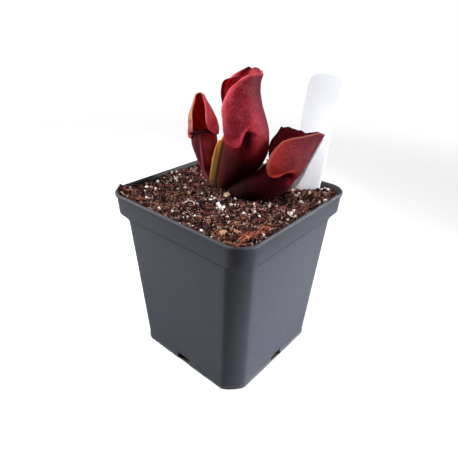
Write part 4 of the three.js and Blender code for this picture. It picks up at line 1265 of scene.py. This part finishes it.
def makeSoil():
    inner = pot["wall"] + soil["fromWall"]
    half = pot["lipHalf"] - soil["fromLip"]
    edge = outline(half, *collarShape, soil["cornerSteps"], soil["sideSteps"])
    rings, toWall = [], []
    for k in range(soil["rings"], 0, -1):
        share = math.sin(k / soil["rings"] * math.pi / 2) ** soil["ringCrowding"]
        flat = edge * share
        spots = np.column_stack([flat, soilHeight(flat[:, 0], flat[:, 1])])
        clods, relief = bumps(spots, soil["clodSize"], 1), bumps(spots, soil["reliefSize"], 2)
        spots[:, 2] += soil["clods"] * clods + soil["relief"] * relief
        rings.append(spots)
        toWall.append(np.linalg.norm(edge, axis=1) * (1 - share))
    sides = [
        (half, collarShape, pot["lipZ"] - 4), (pot["collarHalf"] - inner, collarShape, pot["collarZ"] + 1),
        (pot["shoulderHalf"] - inner, bodyShape, pot["shoulderZ"]),
        (pot["footHalf"] - inner, bodyShape, pot["floor"] + 0.3),
    ]
    under = [potRing(*s, finer=soil) for s in sides][::-1]
    points, faces = loft(under + rings)
    material = earthMaterial("pottingMix", soil["look"], Roughness=0.95, Specular_IOR_Level=0.08)
    bed = makePiece("soilBed", points, faces, material)
    finishPiece(bed, "soil_mix", "soil")
    # the open surface alone, with the room that a crumb has at each point
    top, joined = loft(rings)
    top, joined = top[:-2] + top[-1:], joined[:-2 * len(edge)] + [
        (len(top) - 2, *f[1:]) for f in joined[-len(edge):]
    ]
    near = neighbourTree()
    room = np.array([near.find_nearest(Vector(p) * mm)[3] / mm for p in top]) - soil["clear"]
    room = np.minimum(room, np.append(np.concatenate(toWall), 30) + 0.2)
    return bed, makePiece("soilTop", top, joined, None, {"room": np.clip(room, 0, soil["mostRoom"])})


soilBed, soilTop = makeSoil()
print("soil bed is made")


def newScatter(name, inputs):  # a Geometry Nodes tree with named inputs
    return newGroup(name, "Geometry", {"Geometry": "Geometry", **inputs}, {"Geometry": "Geometry"})


def drawn(given, extra, low, high, whole=False):  # a random number for each point
    seed = plus(given["Seed"], extra)
    first, kind = (4, "INT") if whole else (2, "FLOAT")
    sockets = {first: low, first + 1: high, "Seed": seed}
    return put(seed.id_data, "FunctionNodeRandomValue", sockets, data_type=kind).outputs[first // 2]


def numberAt(tree, name):
    return put(tree, "GeometryNodeInputNamedAttribute", {"Name": name}, data_type="FLOAT").outputs[0]


def spotsOn(tree, given, density, lift):  # points on the surface, raised by the lift
    sockets = {"Mesh": given["Geometry"], "Density": density, "Seed": given["Seed"]}
    spots = put(tree, "GeometryNodeDistributePointsOnFaces", sockets, distribute_method="RANDOM").outputs[0]
    up = put(tree, "ShaderNodeCombineXYZ", {"Z": lift}).outputs[0]
    return put(tree, "GeometryNodeSetPosition", {"Geometry": spots, "Offset": up}).outputs[0]


def turnOf(tree, given):  # any way round, and tilted no further than asked
    back = times(given["Tilt"], -1.0)
    x, y = (drawn(given, extra, back, given["Tilt"]) for extra in (21, 31))
    return put(tree, "ShaderNodeCombineXYZ", {"X": x, "Y": y, "Z": drawn(given, 41, 0.0, 6.28)}).outputs[0]


def scattered(tree, placing, numbers):  # the placed shapes as one mesh, with numbers that each shape keeps
    placed = put(tree, "GeometryNodeInstanceOnPoints", placing).outputs[0]
    for key, value in numbers.items():
        sockets = {"Geometry": placed, "Name": key, "Value": value}
        placed = put(
            tree, "GeometryNodeStoreNamedAttribute", sockets, data_type="FLOAT", domain="INSTANCE"
        ).outputs[0]
    return put(tree, "GeometryNodeRealizeInstances", {"Geometry": placed}).outputs[0]


def dress(tree, geometry, given, end):
    sockets = {"Geometry": geometry, "Material": given["Material"]}
    plug(put(tree, "GeometryNodeSetMaterial", sockets).outputs[0], end, 0)
    return tree


def scatterTree():  # lumpy grains on a surface, no larger than the room there
    tree, given, end = newScatter("scatterGrains", {
        "Density": 100000.0, "Smallest": 0.4, "Largest": 1.2, "Crowding": 3.0, "Flatness": 0.7,
        "Stretch": 1.0, "Lumps": 0.3, "Lift": 0.2, "Detail": 1, "Tilt": 3.14, "Seed": 1,
        "Material": "Material",
    })
    draw = math2("POWER", drawn(given, 11, 0.0, 1.0), given["Crowding"])
    size = plus(given["Smallest"], times(draw, math2("SUBTRACT", given["Largest"], given["Smallest"])))
    size = times(math2("MINIMUM", size, numberAt(tree, "room")), mm)
    ball = put(tree, "GeometryNodeMeshIcoSphere", {"Radius": 1.0, "Subdivisions": given["Detail"]}).outputs[0]
    wide = times(size, drawn(given, 51, 0.55, 0.95))
    flat = times(size, times(given["Flatness"], drawn(given, 61, 0.7, 1.1)))
    shape = put(tree, "ShaderNodeCombineXYZ", {"X": times(size, given["Stretch"]), "Y": wide, "Z": flat})
    real = scattered(tree, {
        "Points": spotsOn(tree, given, given["Density"], times(size, given["Lift"])), "Instance": ball,
        "Rotation": turnOf(tree, given), "Scale": shape.outputs[0],
    }, {"tint": drawn(given, 71, 0.0, 1.0), "girth": size})
    spot = put(tree, "GeometryNodeInputPosition").outputs[0]
    rough = put(tree, "ShaderNodeTexNoise", {"Vector": spot, "Scale": 1500.0, "Detail": 2.0}).outputs["Color"]
    centred = vectorMath("SUBTRACT", {0: rough, 1: (0.5, 0.5, 0.5)})
    amount = times(times(numberAt(tree, "girth"), given["Lumps"]), 3.0)
    shift = vectorMath("SCALE", {0: centred, "Scale": amount})
    moved = put(tree, "GeometryNodeSetPosition", {"Geometry": real, "Offset": shift}).outputs[0]
    return dress(tree, moved, given, end)


def strandTree():  # one of several bent strands at each point, lying about as flat as its tilt allows
    kinds = ("First", "Second", "Third", "Fourth")
    tree, given, end = newScatter("scatterStrands", {
        "Density": 100000.0, "Smallest": 0.6, "Largest": 1.4, "Tilt": 0.4, "Lift": 0.4, "Seed": 1,
        **{kind: "Object" for kind in kinds}, "Material": "Material",
    })
    roomy = math2("GREATER_THAN", numberAt(tree, "room"), 1.8)
    joined = put(tree, "GeometryNodeJoinGeometry")
    for key in kinds[::-1]:
        shape = put(tree, "GeometryNodeObjectInfo", {"Object": given[key]}, transform_space="ORIGINAL")
        strand = put(tree, "GeometryNodeGeometryToInstance", {0: shape.outputs["Geometry"]})
        plug(strand.outputs[0], joined, 0)
    real = scattered(tree, {
        "Points": spotsOn(tree, given, times(given["Density"], roomy), times(given["Lift"], mm)),
        "Instance": joined.outputs[0], "Pick Instance": True,
        "Instance Index": drawn(given, 15, 0, 3, whole=True),
        "Rotation": turnOf(tree, given), "Scale": drawn(given, 51, given["Smallest"], given["Largest"]),
    }, {"tint": drawn(given, 61, 0.0, 1.0)})
    return dress(tree, real, given, end)


grainTree = scatterTree()
fibreTree = strandTree()


def grow(name, surface, tree, values, flat=False):  # runs a tree on a copy of the surface
    piece = addObject(name, surface.data.copy())
    modifier = piece.modifiers.new("grow", "NODES")
    modifier.node_group = tree
    for item in tree.interface.items_tree:
        if item.item_type == "SOCKET" and item.in_out == "INPUT" and item.name in values:
            modifier[item.identifier] = values[item.name]
    bake(piece, name)
    setSmooth(piece.data, not flat)
    return piece


scatter = {
    "soilCrumbs": {
        "flat": True,
        "values": {"Density": 1000000.0, "Smallest": 0.2, "Largest": 1.45, "Crowding": 3.4, "Flatness": 0.75,
                   "Lumps": 0.5, "Lift": 0.15, "Detail": 1, "Seed": 4},
        "tints": [(0.0, (8, 2, 4)), (0.5, (26, 9, 11)), (0.68, (66, 30, 28)),
                  (0.84, (104, 58, 48)), (0.93, (104, 70, 56)), (0.98, (160, 122, 102))],
        "roughness": 0.9, "bump": 0.6,
    },
    "barkBits": {
        "flat": True,
        "values": {"Density": 26000.0, "Smallest": 0.9, "Largest": 2.1, "Crowding": 2.0, "Flatness": 0.3,
                   "Stretch": 1.6, "Lumps": 0.25, "Lift": 0.3, "Detail": 2, "Tilt": 0.5, "Seed": 40},
        "tints": [(0.0, (40, 17, 17)), (0.45, (86, 42, 34)), (0.75, (120, 68, 52)), (0.95, (168, 126, 98))],
        "roughness": 0.8, "bump": 0.8,
    },
    "perliteGrains": {
        "flat": False,
        "values": {"Density": 34000.0, "Smallest": 0.25, "Largest": 0.95, "Crowding": 2.2, "Flatness": 0.7,
                   "Lumps": 0.6, "Lift": 0.45, "Detail": 2, "Seed": 90},
        "tints": [(0.0, (206, 190, 180)), (0.5, (238, 232, 224)), (1.0, (252, 250, 246))],
        "roughness": 0.75, "bump": 0.7,
    },
}
fibres = {
    "sides": 3, "steps": 7, "radius": 0.17, "taper": (0.6, 2),
    "bends": [(2.4, 1.6, 0.9), (3.0, -1.2, 1.3), (1.8, 2.6, 0.5), (3.6, 0.8, 1.6)],  # length, bend, wiggle
    "values": {"Density": 560000.0, "Smallest": 0.45, "Largest": 1.15, "Tilt": 0.6, "Lift": 0.6, "Seed": 7},
    "tints": [(0.0, (50, 22, 22)), (0.4, (108, 66, 58)), (0.72, (160, 116, 102)), (1.0, (224, 192, 176))],
    "roughness": 0.75, "bump": 0.2,
}
# grains in their own places: x, y, width and height
perlite = {
    "grains": [
        (6.2, -15.6, 1.9, 2), (7.9, -16.9, 2, 2.6), (8.5, -15.1, 1.6, 1.7), (6.6, -17.8, 1.7, 1.3),
        (5, -14.9, 1.5, 1.2), (3.7, -14, 2, 2), (10.4, -18.5, 1.4, 1.8), (-23.6, -10.4, 2.2, 1.7),
        (-38.2, -16.8, 2, 2.2), (-32, -23.6, 1.8, 1.5), (-37.4, -25.3, 2.4, 1), (20.5, -25.3, 1.5, 1.9),
        (17.2, -39.8, 1.7, 1.2), (1.1, -35.7, 1.6, 1.2), (2.6, -33.9, 1.1, 1.5), (5.2, -31.8, 1.7, 1.1),
        (8.3, -9.5, 2, 1.4), (6.3, -3.2, 1.3, 1.2), (15.2, 3.7, 1.2, 1.2), (40.2, -25, 1.5, 2),
        (41.1, -31.1, 1, 1.1), (22.1, -11.7, 1.1, 1), (-41.8, -33, 1.5, 1.5), (-12.4, -38.1, 1.6, 1.6),
        (-35.3, -39.5, 1.7, 1.1), (20.8, 27.7, 2.3, 1.7), (25.6, 26.1, 1.9, 1.5),
        (26.6, 21.1, 1.8, 1.3), (35, 39.7, 2.1, 1.5), (40.7, 27.1, 1.9, 1.1), (40, 22.1, 1.2, 1.5),
        (35.6, 5.6, 2.2, 1.5), (37, 1.1, 1.6, 1.9), (39.6, 0.7, 1.6, 1.4), (33.4, 17.4, 1.1, 1.1),
        (-42.2, -3, 1.6, 1.5), (32.1, 38.8, 1.6, 1.3), (-4.6, -9.5, 1.5, 1.1), (-4.7, -13.9, 1.2, 1.1),
        (-35.4, -6.2, 1.3, 1.1), (-41.6, -9.4, 1.1, 1), (-27.4, -2.4, 1.2, 1),
    ],
    "cream": [(0.1, -3.2, 4.4, 2.9), (30.2, 28.7, 1.6, 2.2)],
    "strands": [  # radius, then the places it runs through: x, y and height over the soil
        (0.3, [(-8.0, -26.2, 0.2), (-9.2, -24.3, 0.6), (-9.0, -22.3, 0.8), (-7.3, -20.9, 0.8),
               (-5.4, -21.2, 0.6), (-4.6, -22.4, 0.2)]),
        (0.32, [(-39.0, -5.6, 0.7), (-36.6, -6.0, 1.0), (-33.8, -7.4, 1.0), (-31.8, -7.9, 0.6)]),
        (0.28, [(-36.9, -2.6, 0.8), (-35.3, -5.4, 1.2), (-34.6, -7.6, 1.1), (-32.7, -9.6, 0.5)]),
        (0.26, [(36.4, 3.2, 0.5), (35.2, 1.6, 1.2), (36.2, -0.6, 1.5), (38.6, -1.2, 1.1), (40.4, 0.6, 0.8)]),
        (0.24, [(20.2, 8.2, 0.5), (21.4, 5.2, 1.3), (23.2, 3.2, 1.5), (24.2, 0.9, 0.9)]),
    ],
    "lumps": 0.5, "lumpSize": 0.8, "sunk": 0.3, "raised": 0.3, "flat": 0.75, "rimFlat": 0.8, "detail": 2,
    "turnStep": 1.7, "tintStep": 0.37,
}
creamTints = [(0.0, (206, 176, 140)), (0.5, (222, 198, 164)), (1.0, (236, 218, 190))]
# crumbs that lie on the rim: x, y, z and size
rimCrumbs = [
    (-43.6, -38.2, 95.7, 1.5), (-42.3, -39.6, 95.6, 1.3), (-44.2, -36.6, 95.9, 1.1),
    (-42.6, -37.6, 96.2, 1.5), (-43.9, -37.4, 96.5, 1), (-41.4, -38.6, 95.4, 1.5),
    (-43.3, -35.2, 95.5, 0.9), (-40.9, -40.7, 95.5, 0.9), (-42, -36.3, 95.4, 1.3),
    (-43.5, -33.6, 95.5, 0.7), (42.6, -38.6, 95.5, 1), (43.2, -37.2, 95.6, 1.2),
    (43.6, -35.3, 95.5, 0.8), (41, -42.2, 95.6, 0.8), (39.2, -43.4, 95.5, 0.7), (43.4, -31, 95.5, 0.9),
    (43.7, -27.6, 95.5, 0.6), (-20.3, -43.6, 95.5, 0.7), (3.7, -43.5, 95.5, 0.6),
    (43.5, 6.3, 95.5, 0.7),
]


def makeScatter():
    for name, plan in scatter.items():
        material = tintMaterial(name + "Mix", plan["tints"], plan["roughness"], plan["bump"])
        piece = grow(name, soilTop, grainTree, {**plan["values"], "Material": material}, plan["flat"])
        finishPiece(piece, "soil_mix")
        print(name, len(piece.data.polygons))


def makeFibres():
    strands = []
    for k, (length, bend, wiggle) in enumerate(fibres["bends"]):
        t = np.linspace(0, 1, fibres["steps"])
        turn = bend * (t - 0.5) + wiggle * np.sin(t * (7 + k))
        step = length / (fibres["steps"] - 1)
        x, y = np.cumsum(np.cos(turn)) * step, np.cumsum(np.sin(turn)) * step
        z = 0.35 * wiggle * np.sin(t * 6 + k)
        path = np.column_stack([x - x.mean(), y - y.mean(), z])
        points, faces = [], []
        radii = fibres["radius"] * thinned(t, *fibres["taper"])
        tubeAlong(path + (0, 1e-4, 0), radii, fibres["sides"], points, faces)
        strands.append(makePiece(f"strand{k}", points, faces))
    material = tintMaterial("coirFibre", fibres["tints"], fibres["roughness"], fibres["bump"])
    values = {**fibres["values"], "Material": material}
    values.update(zip(("First", "Second", "Third", "Fourth"), strands))
    piece = grow("coirFibres", soilTop, fibreTree, values)
    finishPiece(piece, "soil_mix")
    for strand in strands:
        bpy.data.objects.remove(strand)
    print("coirFibres", len(piece.data.polygons))


def addLump(spot, wide, tall, seed, made):  # a lumpy grain with its middle at the spot
    body = bmesh.new()
    bmesh.ops.create_icosphere(body, subdivisions=perlite["detail"], radius=1)
    corners = np.array([v.co[:] for v in body.verts])
    body.verts.index_update()
    joined = [tuple(v.index for v in f.verts) for f in body.faces]
    body.free()
    turn = np.array(Matrix.Rotation(seed * perlite["turnStep"], 3, "Z"))
    grown = corners * (1 + perlite["lumps"] * bumps(corners, perlite["lumpSize"], seed))[:, None]
    placed = grown * (wide / 2, wide * perlite["flat"] / 2, tall / 2) @ turn.T + spot
    join(made["points"], made["faces"], placed, joined)
    made["tint"].extend([seed * perlite["tintStep"] % 1] * len(placed))


def makeGrains():  # the grains that have places of their own
    for name, rows, mixed, seed in (
        ("perliteLumps", perlite["grains"], "perliteGrains", 3),
        ("creamLumps", perlite["cream"], "creamGrains", 3), ("rimCrumbs", rimCrumbs, "soilCrumbs", 70),
    ):
        made = {"points": [], "faces": [], "tint": []}
        for k, (x, y, third, last) in enumerate(rows):
            if name == "rimCrumbs":
                addLump(np.array((x, y, third)), last, last * perlite["rimFlat"], k + seed, made)
            else:
                z = float(soilHeight(np.array(x), np.array(y))) + last * perlite["sunk"]
                addLump(np.array((x, y, z + perlite["raised"])), third, last, k + seed, made)
        if name == "perliteLumps":
            t = np.linspace(0, 1, 13)
            for radius, bend in perlite["strands"]:
                bend = np.array(bend)
                path = np.column_stack([[along(bend[:, axis], s) for s in t] for axis in range(3)])
                path[:, 2] += soilHeight(path[:, 0], path[:, 1])
                tubeAlong(path, radius * thinned(t, 0.5, 3), 8, made["points"], made["faces"])
            made["tint"].extend([0.0] * (len(made["points"]) - len(made["tint"])))
        material = bpy.data.materials.get(mixed + "Mix")
        if material is None:
            material = tintMaterial(mixed + "Mix", creamTints, 0.8, 0.8)
        piece = makePiece(name, made["points"], made["faces"], material, {"tint": made["tint"]})
        setSmooth(piece.data, False)
        finishPiece(piece, "soil_mix")


barkChunk = {  # the long piece of bark near the front corner, a bundle of torn slivers
    "from": (35.4, -36.2), "to": (36.8, -13.6), "wide": 7.2, "tall": 1.9,
    "slivers": 150, "thick": (0.25, 0.62), "long": (0.1, 0.28),
    "ends": (0.04, 0.96), "lowest": 0.3, "raised": 0.3, "taper": (0.75, 2.5),
    "stray": 0.55, "narrowing": 0.45, "steps": 7, "sides": 6, "seed": 29, "roughness": 0.9, "bump": 0.9,
    "tints": [(0.0, (52, 22, 18)), (0.45, (108, 48, 36)), (1.0, (176, 110, 86))],
}


def makeBark():
    draws = np.random.default_rng(barkChunk["seed"])
    start, end = (np.array(barkChunk[k], float) for k in ("from", "to"))
    length = np.linalg.norm(end - start)
    ahead = (end - start) / length
    across = np.array((-ahead[1], ahead[0]))
    t = np.linspace(0, 1, barkChunk["steps"])
    points, faces, tint = [], [], []
    for k in range(barkChunk["slivers"]):
        share = draws.uniform(*barkChunk["long"])
        at = draws.uniform(0, 1 - share) + share * t
        side, lean = draws.uniform(-1, 1), draws.normal(0, barkChunk["stray"])
        taper = np.sin(math.pi * np.clip(at, *barkChunk["ends"])) ** 0.5 * (1 - barkChunk["narrowing"] * at)
        out = (side + lean * (2 * t - 1)) * taper * barkChunk["wide"] / 2
        flat = start + np.outer(at * length, ahead) + np.outer(out, across)
        rise = barkChunk["tall"] * math.sqrt(1 - side * side) * taper * draws.uniform(barkChunk["lowest"], 1)
        level = soilHeight(flat[:, 0], flat[:, 1]) + barkChunk["raised"]
        path = np.column_stack([flat, level + rise])
        radii = draws.uniform(*barkChunk["thick"]) * thinned(t, *barkChunk["taper"])
        tubeAlong(path, radii, barkChunk["sides"], points, faces)
        tint += [float(draws.uniform())] * (len(points) - len(tint))
    material = tintMaterial("barkChunkSkin", barkChunk["tints"], barkChunk["roughness"], barkChunk["bump"])
    piece = makePiece("barkChunk", points, faces, material, {"tint": tint})
    finishPiece(piece, "soil_mix")


makeScatter()
makeFibres()
makeGrains()
makeBark()
bpy.data.objects.remove(soilTop)
print("crumbs, perlite and fibres are scattered")
